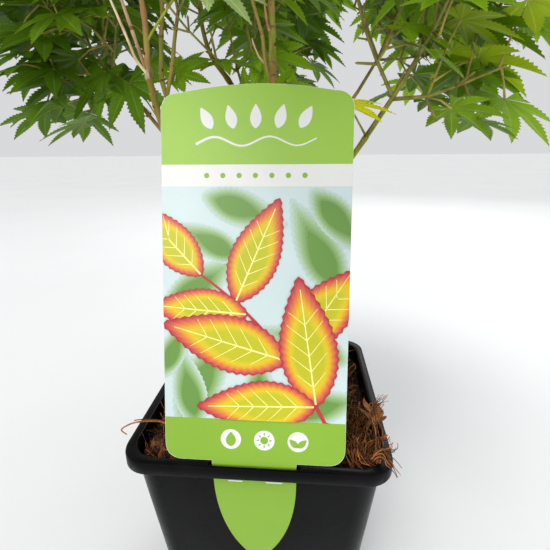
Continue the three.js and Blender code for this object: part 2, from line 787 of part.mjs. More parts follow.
const limbsByName = new Map();
for (const entry of LIMBS) limbsByName.set(entry.name, new Limb(entry, limbsByName));
const limbs = [...limbsByName.values()];
for (const limb of limbs) {
  const isTrunk = limb.name === "trunk";
  add(limb.name, isTrunk ? makeTrunk(limb, limbs) : limb.tube(limb.start(), 1, BOUGH_SIDES), limb.bark);
}

MASSES.forEach((mass, index) => {
  const spray = new Spray(mass, index, MASSES, limbs);
  add(mass.name, geometryOf(spray.solid()), mass.look ?? "leaf");
});

export default plant;
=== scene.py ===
# Looks of a young japanese maple in a square nursery pot: a fibrous potting mix, a folded
# plant label with a plain print, boughs with nodes and buds, and serrated palmate leaves.
# Lengths are in millimetres until a mesh is made, in metres for lights, floor and bumps.

import math

import bpy
import numpy as np
from mathutils import Matrix, Vector, noise


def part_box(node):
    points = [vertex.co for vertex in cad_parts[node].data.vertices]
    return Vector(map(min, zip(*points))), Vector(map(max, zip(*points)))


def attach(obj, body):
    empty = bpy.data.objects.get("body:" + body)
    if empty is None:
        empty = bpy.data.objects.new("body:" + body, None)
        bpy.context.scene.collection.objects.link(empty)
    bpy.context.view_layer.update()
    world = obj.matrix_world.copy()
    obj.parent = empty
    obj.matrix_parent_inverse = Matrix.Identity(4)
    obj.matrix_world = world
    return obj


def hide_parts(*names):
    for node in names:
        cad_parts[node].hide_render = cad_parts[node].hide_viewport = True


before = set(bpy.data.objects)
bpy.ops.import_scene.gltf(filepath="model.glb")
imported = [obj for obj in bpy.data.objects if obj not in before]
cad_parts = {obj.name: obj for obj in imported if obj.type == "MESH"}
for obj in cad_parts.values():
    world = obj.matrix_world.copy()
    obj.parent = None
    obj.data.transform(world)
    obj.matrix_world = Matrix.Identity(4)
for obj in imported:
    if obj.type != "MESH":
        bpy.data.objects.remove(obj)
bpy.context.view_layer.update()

MM = 0.001

# Pot
POT_HEIGHT = 110
RIM_WIDTH = 110
BASE_WIDTH = 83
WALL = 1.1
SKIRT_DEPTH = 5.4
SKIRT_WALL = 1
SKIRT_GAP = 2
LEDGE = 1.2
CORNER_SHARE = 0.105
CORNER_STEPS = 10
HOLE_RADIUS = 4
HOLE_GRID = (-28, 0, 28)
HOLE_SIDES = 24
CRISP_ANGLE = math.radians(40)  # edges over this angle are shaded crisp

# Potting mix
MIX_TOP = 105
MIX_HALF = 49.3
MIX_MOUND = 0.6
MIX_EDGE_DROP = 2.5
MIX_ROUGHNESS = ((1.1, 9), (0.7, 3.5))  # height and width of its coarse and fine unevenness
MIX_CELLS = 130
MIX_SEED = 12
CHIPS = 1500
CHIP_ODDS = (0.4, 0.3, 0.14, 0.16)  # of each colour of chip
FIBRES = 620
TUFT_FIBRES = 260  # at each front corner
# The wall fibres all take the darkest fibre colour: painted shade for the dark strip between the
# label and the right wall, further back
WALL_FIBRES = 120  # along the right wall
FIBRE_STEPS = 9
STRANDS_PER_ROUTE = 9
STRAND_POINTS = 34
CURL_POINTS = 50
CURL_BRANCH_POINTS = 34  # how far the thinner strand beside the curl goes with it
DRY_LEAF_LENGTH = 11

# Label
LABEL_WIDTH = 70
LABEL_HEIGHT = 143
LABEL_FOOT = 1.5
LABEL_ARCH = 2.7
LABEL_CORNER = 7
LABEL_SHOULDER = 7
LABEL_THICKNESS = 0.6
LABEL_LEAN = math.radians(13)
LABEL_FOLD_Y = -52.7
NECK_WIDTH = 33
TONGUE_REACH = 57.5
TONGUE_STRAIGHT = 10
SLOT_SPARE = 1.5
TONGUE_SLITS = ((-10.6, -4.9), (4.5, 11))  # left and right ends
SLIT_HEIGHTS = (-9.1, -8.4)
PANEL = (18.5, 106.9)  # the picture's lowest and highest edge on the label
BAND = (106.9, 114.8)
PRINT_LAYER = 0.018  # each colour of the print lies this much over the last
LEAST_PRINT_AREA = 0.002  # twice the area of the smallest face of the print
PRINT_INSET = 0.1
WAVE_HEIGHT = 123
SIGN_PLACES = (-9, 4, 17)
SIGN_HEIGHT = 10.5
SIGN_RADIUS = 4
DISC_SIDES = 32

# Leaves of the label's picture: green ones by foot, turn from upright and length, yellow ones
# by the point of the stem that they grow from, turn and length
PICTURE_STEM = ((30, 12), (12, 52), (-20, 74))
GREEN_LEAVES = (
    (-30, 16, 0.5, 44), (-36, 58, 0.9, 38), (33, 66, -0.5, 42), (36, 42, -1.2, 36),
    (-4, 80, -1.1, 30), (10, 20, 1.3, 34), (-22, 14, -0.2, 34), (20, 106, 2.4, 34),
    (0, 16, 0.1, 30), (-36, 34, 0.4, 26), (-20, 104, 1.9, 34),
)
YELLOW_LEAVES = (
    (24, -0.75, 36), (19, 0.4, 42), (17, -1.5, 38), (11, 0.75, 46),
    (10, -1.3, 50), (4, -0.15, 50), (4, -1.6, 46),
)

# Inks of a leaf on the label's picture, from its margin to its middle
WARM_INKS = ((0.36, 0.025, 0.035), (0.52, 0.085, 0.07), (0.6, 0.18, 0.04), (0.62, 0.33, 0.02),
             (0.61, 0.45, 0.014), (0.53, 0.46, 0.014), (0.44, 0.43, 0.014))
WARM_STEPS = 15
COOL_INKS = ((0.43, 0.54, 0.5), (0.26, 0.4, 0.18), (0.12, 0.25, 0.05))
COOL_STEPS = 8

# Plain inks, and the colours of leaves, chips and fibres
INKS = {
    "white": (0.66, 0.66, 0.655),
    "lime": (0.205, 0.375, 0.031),
    # A lighter lime for the label's head: painted light, standing in for the stronger light that
    # falls on the head
    "lime_painted_light": (0.265, 0.452, 0.057),
    "mist": (0.5, 0.6, 0.61),
    "red": (0.42, 0.03, 0.035),
    "light_yellow": (0.78, 0.74, 0.25),
}
LEAF_COLORS = ((0.078, 0.158, 0.006), (0.12, 0.22, 0.007), (0.195, 0.33, 0.01),
               (0.66, 0.64, 0.01), (0.42, 0.55, 0.2), (0.3, 0.4, 0.012))
CHIP_COLORS = ((0.022, 0.01, 0.006), (0.05, 0.02, 0.01), (0.13, 0.05, 0.02),
               (0.011, 0.007, 0.005))
FIBRE_COLORS = ((0.15, 0.052, 0.018), (0.36, 0.135, 0.04), (0.05, 0.022, 0.01))

# Leaf shader, across and along a lobe
RIB_WIDTH = 0.085
SIDE_RIBS = 11
SIDE_RIB_SLANT = 0.14
SIDE_RIB_WIDTH = 0.12
SIDE_RIB_STRENGTH = 0.35
LIGHT_THROUGH = 0.33

# Limbs
LIMB_SIDES = 14
LIMB_STEP = 1.3
NODE_SPACING = 30
NODE_SWELL = 0.2
NODE_HALF_LENGTH = 1.6
NODE_MARK = 0.4  # half length of the darker ring at a node
BARK_RELIEF = 0.05  # height of its ridges, as a share of the radius
COARSE_RELIEF = 0.1  # of the trunk and dead twigs
LIMB_SEED = 31
FLARE_RADIUS = 6.6
FLARE_HEIGHT = 7

# Leaves and twigs
LEAF_LENGTH = 27
LEAF_SPREAD = 0.35
STALK_LENGTH = 11
STALK_SPREAD = 9
STALK_RADIUS = 0.42
LEAST_RADIUS = 0.42  # of a twig
LEAST_BRANCH_RADIUS = 0.4  # of a side twig's foot
SHOOT_OVERLAP = 0.4  # how far a mass's first twig starts inside its limb
LEVELS = ((4, 19), (3, 12.5), (1, 7.5))  # nodes and internode of main, side and fine twigs
PAIR_SETBACK = 0.8
TWIG_TAPER = 0.85
TRIES = 7
WANDER = 0.15
WANDER_STEP = 0.1
TWIG_LIFT = 0.15
INTERNODE_SPREAD = 0.4
BRANCH_FORWARD = 0.5
STALK_FORWARD = 0.35
STALK_LIFT = 0.25
LEAST_DROOP = 0.15
DROOP_SPREAD = 0.4
ROLL_SPREAD = 0.9
LEAF_OVERLAP = 0.34
LOBE_HALF_WIDTH = 0.1
SPACE_GAP = 0.6
LIMB_GAP = 0.6
LABEL_GAP = 3
BOX_GROWTH = 5
FIRST_SEED = 64
SEED_STEP = 977

# Lobes of a leaf: angle from the middle lobe, length, half width and number of teeth
LOBES = (
    (0, 1, 0.12, 9),
    (39, 0.92, 0.114, 9),
    (79, 0.68, 0.09, 6),
    (122, 0.36, 0.05, 3),
)
NOTCH = 0.33
LOBE_GAP = math.radians(20)  # half the angle that a lobe's foot fills
LOBE_DROP = 0.16  # fall of a lobe's tip
FOLD_RISE = 0.35  # of a lobe's margin over its rib
FOLDS = (0.4, 1.0, 1.5)  # the shares of it in the three kinds of blade

# The photo's camera, found from the pot's rim and the label's corners
CAMERA_PLACE = (17.8, -169.7, POT_HEIGHT + 116.1)
CAMERA_PITCH = math.radians(17.92)  # downwards
CAMERA_YAW = math.radians(-4.41)
CAMERA_ROLL = math.radians(-0.41)
LENS = 24.87
SENSOR_WIDTH = 36

# Light: suns by name, strength and way, lamps by name, place, size, power and colour
WORLD_COLOR = (0.96, 0.97, 0.98)
WORLD_STRENGTH = 0.72
SUNS = (("high_sun", 1.6, (0.5, 1, -1.9)), ("low_sun", 1.1, (0.35, 1, -0.4)))
SUN_COLOR = (1, 0.98, 0.94)
SUN_ANGLE = math.radians(24)
LAMPS = (("fill", (1.3, -0.9, 1), 1.2, 6, (0.93, 0.96, 1)),
         ("back", (0.5, 1.2, 1.2), 0.9, 10, (1, 1, 1)))
LAMP_TARGET = (0, 0, 0.2)
FLOOR_SIZE = 60

UP = np.array([0.0, 0.0, 1.0])


def over(x, y, height):
    """A point over the pot, its height counted from the rim."""
    return np.array([x, y, POT_HEIGHT + height], dtype=float)


# Name, the limb and point of it that it joins, points, radii at foot and tip, look
LIMBS = (
    ("trunk", None, (over(1, 7, -5.1), over(0, 6, 10), over(-0.5, 5.5, 18), over(0, 5, 25),
      over(1, 4, 32)), (4.6, 3.2), "bark_trunk"),
    ("bough_left", ("trunk", 1), (over(-9, 5, 22), over(-17, 4, 52), over(-29, 2.5, 90),
      over(-42.4, 1.2, 124), over(-47.1, 1, 146.4), over(-46.8, 1, 158.4), over(-46.9, 0, 173.2),
      over(-51, -5, 198), over(-60, -12, 218)), (1.95, 0.8), "bark_olive"),
    ("bough_inner_left", ("trunk", 2), (over(-7, 12, 31), over(-14, 16, 62), over(-28, 14, 100),
      over(-43.6, 10.5, 139.5), over(-44.4, 11, 158), over(-42.4, 11.5, 177), over(-45, 20, 212),
      over(-48, 30, 252)), (1.4, 0.65), "bark_tan"),
    ("bough_fork", ("bough_inner_left", 4), (over(-40.4, 10.5, 150.3), over(-38.2, 11, 162),
      over(-35.8, 11.5, 172.6)), (0.9, 0.75), "bark_tan"),
    ("bough_diagonal", ("trunk", 3), (over(7, 11, 38), over(12, 18, 72), over(4, 26, 115),
      over(-18.1, 30, 147.3), over(-27.6, 32, 160.3), over(-31.9, 34, 175.4), over(-35, 44, 196),
      over(-44, 60, 214)), (1.7, 0.7), "bark_olive"),
    ("bough_middle", ("trunk", 4), (over(2.5, 3, 60), over(5, 2, 105), over(4.3, 2, 142.6),
      over(4.1, 2, 161.9), over(3.8, 2, 182), over(6, 3, 212), over(8, 3, 244),
      over(13, 1, 266)), (1.9, 0.75), "bark_green"),
    ("shoot_middle", ("bough_middle", 3), (over(1.4, 2, 149.8), over(0.2, 1, 160),
      over(-3.1, -2, 170.9), over(-6, -6, 182)), (0.75, 0.6), "bark_tan"),
    ("bough_right_high", ("bough_middle", 5), (over(12, 6, 192), over(27, 9, 207),
      over(46, 9, 226)), (1.1, 0.8), "bark_green"),
    ("bough_front", ("bough_middle", 5), (over(-1, -6, 193), over(-4, -20, 203),
      over(-6, -42, 211)), (1.1, 0.8), "bark_green"),
    ("bough_right", ("trunk", 3), (over(8, -1, 36), over(16, -3, 66), over(27, -2, 97),
      over(43, 0, 122)), (2, 1.1), "bark_green"),
    ("bough_back", ("trunk", 1), (over(3, 15, 24), over(6, 28, 58), over(8, 44, 98),
      over(8, 58, 132), over(6, 70, 160)), (2.1, 1), "bark_olive"),
    ("bough_back_right", ("bough_back", 3), (over(16, 48, 110), over(30, 51, 126),
      over(45, 53, 146)), (1.3, 0.9), "bark_pink"),
    ("bough_low_left", ("bough_inner_left", 3), (over(-34, 18, 110), over(-48, 23, 122),
      over(-62, 26, 138)), (1.2, 0.85), "bark_pink"),
    ("shoot_low", ("bough_diagonal", 3), (over(-3, 23, 125), over(-8, 19, 133)),
      (0.9, 0.7), "bark_shoot"),
    ("shoot_left", ("bough_left", 6), (over(-43.6, 0, 162), over(-38.4, -1, 167.3),
      over(-33, -2, 172.5)), (0.55, 0.45), "bark_shoot"),
    ("dead_twig_long", ("bough_left", 5), (over(-50.3, -2.5, 151.6), over(-52.7, -3, 158.6),
      over(-57.7, -3.5, 172.3), over(-61.5, -5, 183)), (0.62, 0.4), "dead_cream"),
    ("dead_twig_short", ("bough_left", 5), (over(-49.8, 2.5, 152.8), over(-53.7, 3.2, 165.5),
      over(-57.5, 4, 178)), (0.85, 0.6), "dead_peach"),
)

# Strands of coir at the front right corner, each from its foot in the mix
STRANDS = (
    (over(48.5, -48.6, -4), over(49.3, -45.6, 4), over(49.4, -39, 8), over(49.8, -29, 9),
     over(51.8, -24.7, 10), over(55, -23.8, 11), over(58.2, -22.8, 11)),
    (over(44.9, -45.9, -2), over(50, -48.2, 4), over(52.4, -53, 4), over(55, -55.4, 1)),
    (over(46, -46.3, -2), over(49.5, -46.7, 4), over(53.7, -45.9, 6), over(53.7, -46.6, 9)),
    (over(44.3, -27.5, -4), over(41.6, -37.3, 0), over(42.1, -45.5, 0.5), over(44.1, -49.5, 0.5),
     over(47.1, -49.8, -1)),
    (over(47, -20, -4), over(50, -22, 5), over(52, -24, 10), over(55, -20, 12)),
    (over(46, -38, -4), over(48.5, -40, 3), over(51.5, -43, 7), over(52.5, -44, 10)),
)

# The strand that arches over the left rim
CURL = (over(-36, -30, -5), over(-42.1, -31.7, 0), over(-44.7, -32.7, 2), over(-48.1, -35.1, 4),
        over(-51.8, -36.9, 5), over(-55.4, -38.7, 5), over(-58.9, -40, 3), over(-56.5, -40.6, 1))

# Heights over the rim from which a limb has another bark
ZONES = {
    "bough_left": ((146.4, "bark_pink"),),
    "bough_middle": ((138, "bark_peach"), (149.6, "bark_green"), (166, "bark_tan")),
}

# Limb, height over the rim and half length of each scarred node. The first swells twice as
# much and is pale on its left side
SCARS = (
    ("bough_left", 146.4, 1.9),
    ("bough_middle", 161.9, 0.6),
    ("bough_middle", 149.6, 0.6),
    ("bough_middle", 145.4, 0.6),
    ("bough_fork", 150.3, 0.5),
    ("bough_inner_left", 163, 0.6),
)

# Name, the limbs whose tips its sprays grow from, centre, reach, tints of its leaves
MASSES = (
    ("leaves_left", ("bough_left",), over(-88, -24, 240), 78, (0, 1)),
    ("leaves_inner_left", ("bough_inner_left",), over(-50, 40, 300), 76, (0, 1)),
    ("leaves_fork", ("bough_fork", "shoot_middle", "shoot_left"), over(-16, 0, 228), 70, (1, 2)),
    ("leaves_low_middle", ("shoot_low",), over(-8, 18, 142), 58, (1, 2)),
    ("leaves_diagonal", ("bough_diagonal",), over(-60, 92, 242), 74, (0, 1)),
    ("leaves_top", ("bough_middle",), over(24, -4, 305), 78, (1, 2)),
    ("leaves_right_high", ("bough_right_high",), over(84, 4, 250), 76, (1, 2)),
    ("leaves_front", ("bough_front",), over(-6, -76, 230), 74, (1, 2)),
    ("leaves_right", ("bough_right",), over(84, -8, 166), 76, (2, 1, 2, 5)),
    ("leaves_back", ("bough_back",), over(4, 100, 196), 76, (0, 1)),
    ("leaves_back_right", ("bough_back_right",), over(82, 80, 182), 74, (0, 2)),
    ("leaves_low_left", ("bough_low_left",), over(-98, 32, 164), 76, (0, 0, 1)),
)

# Leaves seen one by one: mass, limb and share of it that the stalk leaves from, end of the
# stalk, way of the middle lobe, roll, length, tint
SINGLE_LEAVES = (
    ("leaves_fork", "bough_fork", 1, over(-21.9, -0.5, 180.4), (0.94, 0.28, -0.2), 0.81, 28.9, 4),
    ("leaves_low_middle", "bough_fork", 0.15, over(-40.9, 17.8, 150.6), (0.96, 0.04, 0.29), 0.81,
     20.4, 1),
    ("leaves_low_middle", "shoot_low", 1, over(-7, 14, 139), (0.3, -0.1, 0.95), 1.4, 17, 2),
    ("leaves_low_middle", "shoot_low", 0.9, over(2, 16, 141), (0.97, -0.1, 0.25), 1, 19, 2),
    ("leaves_right", "bough_right", 1, over(32.7, -7.9, 133.9), (0.99, -0.13, -0.08), 0.36, 20.8, 3),
    ("leaves_low_left", "bough_low_left", 0.9, over(-80, 30, 154), (-0.6, -0.3, -0.7), -0.6, 30, 0),
    ("leaves_low_left", "bough_low_left", 0.6, over(-66, 24, 148), (0.35, -0.5, -0.8), 0.5, 27, 0),
)


# Meshes

def unit(vector):
    return vector / np.linalg.norm(vector)


class Skin:
    """Gathers the points and faces of many small shapes for one mesh."""

    def __init__(self):
        self.points = []
        self.faces = []
        self.looks = []
        self.maps = []
        self.size = 0

    def add(self, points, faces, look=0, mapped=None):
        self.points.append(np.asarray(points, dtype=float))
        self.faces.extend([tuple(i + self.size for i in face) for face in faces])
        self.looks.extend([look] * len(faces) if isinstance(look, int) else look)
        self.maps.append(np.zeros((len(points), 2)) if mapped is None else mapped)
        self.size += len(points)

    def piece(self, name, slot, materials, smooth=True, replaces=()):
        """Makes the object, on the plant's only body."""
        mesh = bpy.data.meshes.new(name)
        mesh.from_pydata((np.vstack(self.points) * MM).tolist(), [], self.faces)
        for look in materials:
            mesh.materials.append(look)
        mesh.polygons.foreach_set("material_index", self.looks)
        mesh.polygons.foreach_set("use_smooth", [smooth] * len(self.faces))
        corners = np.zeros(len(mesh.loops), dtype=np.int32)
        mesh.loops.foreach_get("vertex_index", corners)
        layer = mesh.uv_layers.new(name="leaf")
        layer.data.foreach_set("uv", np.vstack(self.maps)[corners].ravel())
        mesh.update()
        piece = bpy.data.objects.new(name, mesh)
        bpy.context.collection.objects.link(piece)
        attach(piece, "root")
        if replaces:
            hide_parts(*replaces)
        return piece


def frames(path):
    """Directions along and across a path at each of its points, turned as little as can be."""
    along = np.gradient(path, axis=0)
    along /= np.linalg.norm(along, axis=1)[:, None]
    first = np.empty_like(path)
    start = np.cross(along[0], (0.3, 1, 0.1))
    first[0] = unit(start)
    for i in range(1, len(path)):
        first[i] = unit(first[i - 1] - along[i] * first[i - 1].dot(along[i]))
    return along, first, np.cross(along, first)


def tube(path, radii, sides):
    """Points and faces of a closed skin round a path. Radii are one per point, or per corner."""
    path = np.asarray(path, dtype=float)
    radii = np.asarray(radii, dtype=float)
    if radii.ndim == 1:
        radii = np.repeat(radii[:, None], sides, axis=1)
    _, first, second = frames(path)
    angles = np.arange(sides) * 2 * math.pi / sides
    ways = (first[:, None, :] * np.cos(angles)[None, :, None]
            + second[:, None, :] * np.sin(angles)[None, :, None])
    points = (path[:, None, :] + ways * radii[:, :, None]).reshape(-1, 3)
    return points, tube_faces(len(path), sides)


def tube_faces(count, sides):
    faces = []
    for level in range(count - 1):
        for i in range(sides):
            a = level * sides + i
            b = level * sides + (i + 1) % sides
            faces.append((a, b, b + sides, a + sides))
    faces.append(tuple(reversed(range(sides))))
    faces.append(tuple(range((count - 1) * sides, count * sides)))
    return faces


# Materials

def material(name, color, roughness, build):
    """A material with a plain base colour, which build makes richer."""
    made = bpy.data.materials.new(name)
    made.use_nodes = True
    made.diffuse_color = (*color, 1)
    shader = made.node_tree.nodes["Principled BSDF"]
    shader.inputs["Base Color"].default_value = (*color, 1)
    shader.inputs["Roughness"].default_value = roughness
    build(made.node_tree, shader, color)
    return made


def noise_node(tree, scale, detail=4, stretch=(1, 1, 1)):
    """A noise over the object's own coordinates."""
    place = tree.nodes.new("ShaderNodeTexCoord")
    mapping = tree.nodes.new("ShaderNodeMapping")
    mapping.inputs["Scale"].default_value = stretch
    tree.links.new(place.outputs["Object"], mapping.inputs["Vector"])
    made = tree.nodes.new("ShaderNodeTexNoise")
    made.inputs["Scale"].default_value = scale
    made.inputs["Detail"].default_value = detail
    tree.links.new(mapping.outputs["Vector"], made.inputs["Vector"])
    return made.outputs["Fac"]


def ramp(tree, value, stops):
    """Colours dealt out over a value by (place, colour) stops."""
    made = tree.nodes.new("ShaderNodeValToRGB")
    elements = made.color_ramp.elements
    while len(elements) < len(stops):
        elements.new(0.5)
    for element, (place, color) in zip(elements, stops):
        element.position = place
        element.color = (*color, 1)
    tree.links.new(value, made.inputs["Fac"])
    return made.outputs["Color"]


def bump(tree, shader, height, distance, strength=1):
    made = tree.nodes.new("ShaderNodeBump")
    made.inputs["Strength"].default_value = strength
    made.inputs["Distance"].default_value = distance
    tree.links.new(height, made.inputs["Height"])
    tree.links.new(made.outputs["Normal"], shader.inputs["Normal"])


def math_node(tree, operation, *values):
    """A sum in a shader. Each value is a number or another node's output."""
    made = tree.nodes.new("ShaderNodeMath")
    made.operation = operation
    for value, place in zip(values, made.inputs):
        if isinstance(value, (int, float)):
            place.default_value = value
        else:
            tree.links.new(value, place)
    return made.outputs["Value"]


def scaled(color, factor):
    return tuple(channel * factor for channel in color)


def mottled(scale, darker, lighter, depth=0.0):
    """A colour that varies by noise between a darker and a lighter shade, with some relief."""
    def build(tree, shader, color):
        value = noise_node(tree, scale)
        stops = ((0.32, scaled(color, darker)), (0.5, color), (0.68, scaled(color, lighter)))
        tree.links.new(ramp(tree, value, stops), shader.inputs["Base Color"])
        shader.inputs["Specular IOR Level"].default_value = 0.12
        if depth:
            bump(tree, shader, value, depth)
    return build


def bark(second, third):
    """Patches of three bark colours, drawn out along the stem, with fine relief."""
    def build(tree, shader, color):
        value = noise_node(tree, 170, detail=6, stretch=(1, 1, 0.3))
        stops = ((0.36, second), (0.47, color), (0.58, color), (0.7, third))
        tree.links.new(ramp(tree, value, stops), shader.inputs["Base Color"])
        shader.inputs["Specular IOR Level"].default_value = 0.2
        bump(tree, shader, noise_node(tree, 900, stretch=(1, 1, 0.25)), 0.0003, 0.6)
    return build


def pot_plastic(tree, shader, color):
    """Moulded black plastic with dust and faint scuffs."""
    value = noise_node(tree, 45, detail=8)
    stops = ((0.45, color), (0.75, scaled(color, 2.4)))
    tree.links.new(ramp(tree, value, stops), shader.inputs["Base Color"])
    rough = tree.nodes.new("ShaderNodeMapRange")
    rough.inputs["From Min"].default_value = 0.3
    rough.inputs["From Max"].default_value = 0.7
    rough.inputs["To Min"].default_value = 0.22
    rough.inputs["To Max"].default_value = 0.38
    tree.links.new(value, rough.inputs["Value"])
    tree.links.new(rough.outputs["Result"], shader.inputs["Roughness"])
    bump(tree, shader, noise_node(tree, 260, detail=5), 0.00012, 0.5)
    shader.inputs["Specular IOR Level"].default_value = 0.07


def printed(tree, shader, color):
    """An ink on satin sheet, nearly even."""
    value = noise_node(tree, 25)
    stops = ((0.35, scaled(color, 0.96)), (0.65, scaled(color, 1.04)))
    tree.links.new(ramp(tree, value, stops), shader.inputs["Base Color"])
    shader.inputs["Specular IOR Level"].default_value = 0.3


def leaf_blade(tree, shader, color):
    """A thin blade that light shines through, with paler ribs and a mottled green."""
    nodes, links = tree.nodes, tree.links
    stops = ((0.3, scaled(color, 0.72)), (0.5, color), (0.7, scaled(color, 1.3)))
    mix = nodes.new("ShaderNodeMixRGB")
    mix.inputs["Color2"].default_value = (*[min(1, 1.5 * c + 0.03) for c in color], 1)
    links.new(all_ribs(tree), mix.inputs["Fac"])
    links.new(ramp(tree, noise_node(tree, 60), stops), mix.inputs["Color1"])
    links.new(mix.outputs["Color"], shader.inputs["Base Color"])
    shader.inputs["Specular IOR Level"].default_value = 0.12
    through = nodes.new("ShaderNodeBsdfTranslucent")
    through.inputs["Color"].default_value = (*[min(1, 1.9 * c) for c in color], 1)
    blend = nodes.new("ShaderNodeMixShader")
    blend.inputs["Fac"].default_value = LIGHT_THROUGH
    links.new(shader.outputs["BSDF"], blend.inputs[1])
    links.new(through.outputs["BSDF"], blend.inputs[2])
    links.new(blend.outputs["Shader"], nodes["Material Output"].inputs["Surface"])


def all_ribs(tree):
    """The middle rib of each lobe, and faint side ribs that slant from it to the margin."""
    place = tree.nodes.new("ShaderNodeUVMap")
    place.uv_map = "leaf"
    parts = tree.nodes.new("ShaderNodeSeparateXYZ")
    tree.links.new(place.outputs["UV"], parts.inputs["Vector"])
    along, across = parts.outputs["X"], parts.outputs["Y"]
    rib = math_node(tree, "LESS_THAN", across, RIB_WIDTH)
    slant = math_node(tree, "MULTIPLY_ADD", across, -SIDE_RIB_SLANT, along)
    phase = math_node(tree, "FRACT", math_node(tree, "MULTIPLY", slant, SIDE_RIBS))
    line = math_node(tree, "LESS_THAN", phase, SIDE_RIB_WIDTH)
    faint = math_node(tree, "MULTIPLY", line, SIDE_RIB_STRENGTH)
    return math_node(tree, "MAXIMUM", rib, faint)


def wood_looks():
    """Barks of three colours each, dead wood, scars, buds, parts of a twig, the dry leaf."""
    olive, pink = (0.2, 0.165, 0.02), (0.37, 0.19, 0.08)
    brown, cream = (0.2, 0.11, 0.03), (0.8, 0.69, 0.42)
    green, tan = (0.31, 0.32, 0.045), (0.35, 0.26, 0.06)
    return {
        "bark_trunk": (brown, 0.8, bark(olive, (0.29, 0.19, 0.08))),
        "bark_olive": (olive, 0.65, bark(brown, (0.27, 0.23, 0.04))),
        "bark_pink": (pink, 0.65, bark(tan, (0.42, 0.26, 0.13))),
        "bark_tan": (tan, 0.6, bark((0.24, 0.15, 0.035), (0.37, 0.34, 0.07))),
        "bark_green": (green, 0.5, bark((0.21, 0.18, 0.03), (0.4, 0.4, 0.07))),
        "bark_peach": ((0.31, 0.2, 0.045), 0.6, bark((0.24, 0.13, 0.04), green)),
        "bark_flake": ((0.4, 0.22, 0.09), 0.85, mottled(400, 0.6, 1.6)),
        "bark_shoot": ((0.35, 0.38, 0.03), 0.45, bark(green, (0.46, 0.48, 0.06))),
        "dead_cream": (cream, 0.85, bark((0.6, 0.4, 0.22), (0.88, 0.8, 0.6))),
        "dead_peach": ((0.72, 0.51, 0.3), 0.85, bark((0.5, 0.28, 0.15), cream)),
        "node_scar": ((0.27, 0.17, 0.06), 0.8, mottled(600, 0.6, 1.6)),
        "pale_scar": ((0.5, 0.42, 0.3), 0.9, mottled(500, 0.6, 1.2)),
        "bud": ((0.2, 0.06, 0.03), 0.5, mottled(700, 0.6, 1.5)),
        "twig": ((0.24, 0.22, 0.05), 0.5, mottled(300, 0.7, 1.3)),
        "stalk": ((0.36, 0.3, 0.07), 0.45, mottled(150, 0.7, 1.4)),
        "dry_leaf": ((0.2, 0.08, 0.025), 0.8, mottled(350, 0.5, 1.8)),
    }


def all_inks():
    """The plain inks, then those of the picture's leaves from the margin to the middle."""
    inks = dict(INKS)
    for name, stops, steps in (("warm", WARM_INKS, WARM_STEPS), ("cool", COOL_INKS, COOL_STEPS)):
        for i in range(steps):
            place = i / (steps - 1) * (len(stops) - 1)
            color = [np.interp(place, range(len(stops)), channel) for channel in zip(*stops)]
            inks[f"{name}_{i}"] = tuple(float(channel) for channel in color)
    return inks


def make_materials():
    looks = wood_looks()
    looks["pot"] = ((0.002, 0.002, 0.0025), 0.35, pot_plastic)
    looks["soil"] = ((0.015, 0.008, 0.005), 0.95, mottled(500, 0.4, 2, depth=0.0008))
    families = (
        ("leaf", LEAF_COLORS, 0.42, leaf_blade),
        ("chip", CHIP_COLORS, 0.85, mottled(420, 0.5, 1.7, depth=0.0004)),
        ("fibre", FIBRE_COLORS, 0.75, mottled(300, 0.6, 1.5)),
    )
    for family, colors, roughness, build in families:
        for i, color in enumerate(colors):
            looks[f"{family}_{i}"] = (color, roughness, build)
    for name, color in all_inks().items():
        looks[name] = (color, 0.35, printed)
    return {name: material(name, *look) for name, look in looks.items()}


LOOKS = make_materials()


def looks_of(family, colors):
    return [LOOKS[f"{family}_{i}"] for i in range(len(colors))]


# Pot

def rounded_square(width, z):
    radius = width * CORNER_SHARE
    arm = width / 2 - radius
    points = []
    for corner in range(4):
        middle = (corner + 0.5) * math.pi / 2
        x = math.copysign(arm, math.cos(middle))
        y = math.copysign(arm, math.sin(middle))
        for step in range(CORNER_STEPS + 1):
            angle = (corner + step / CORNER_STEPS) * math.pi / 2
            points.append((x + radius * math.cos(angle), y + radius * math.sin(angle), z))
    return points


def wall_width(z):
    top = RIM_WIDTH - 2 * (SKIRT_WALL + SKIRT_GAP)
    return BASE_WIDTH + (top - BASE_WIDTH) * z / (POT_HEIGHT - LEDGE)


def pot_profile():
    """Width and height of the pot's skin, up its outside, over the rim and down inside.
    Points close to each other round an edge."""
    ledge = POT_HEIGHT - LEDGE
    foot = POT_HEIGHT - SKIRT_DEPTH
    pocket = RIM_WIDTH - 2 * SKIRT_WALL
    inner = 2 * WALL
    top = wall_width(POT_HEIGHT) - inner
    return (
        (BASE_WIDTH - 1.2, 0),
        (BASE_WIDTH - 0.5, 0.15),
        (wall_width(0.7), 0.7),
        (wall_width(40), 40),
        (wall_width(80), 80),
        (wall_width(ledge), ledge),
        (pocket, ledge),
        (pocket, foot + 0.2),
        (pocket + 0.4, foot),
        (RIM_WIDTH - 0.4, foot),
        (RIM_WIDTH, foot + 0.3),
        (RIM_WIDTH, POT_HEIGHT - 0.9),
        (RIM_WIDTH - 0.4, POT_HEIGHT - 0.25),
        (RIM_WIDTH - 1.3, POT_HEIGHT),
        (top + 1.3, POT_HEIGHT),
        (top + 0.4, POT_HEIGHT - 0.25),
        (top, POT_HEIGHT - 0.9),
        (wall_width(60) - inner, 60),
        (wall_width(WALL) - inner, WALL),
    )


def cutter(name, points, faces):
    """A solid that is only there to be cut away, and removed once that is done."""
    mesh = bpy.data.meshes.new(name)
    mesh.from_pydata((np.array(points) * MM).tolist(), [], faces)
    made = bpy.data.objects.new(name, mesh)
    bpy.context.collection.objects.link(made)
    return made


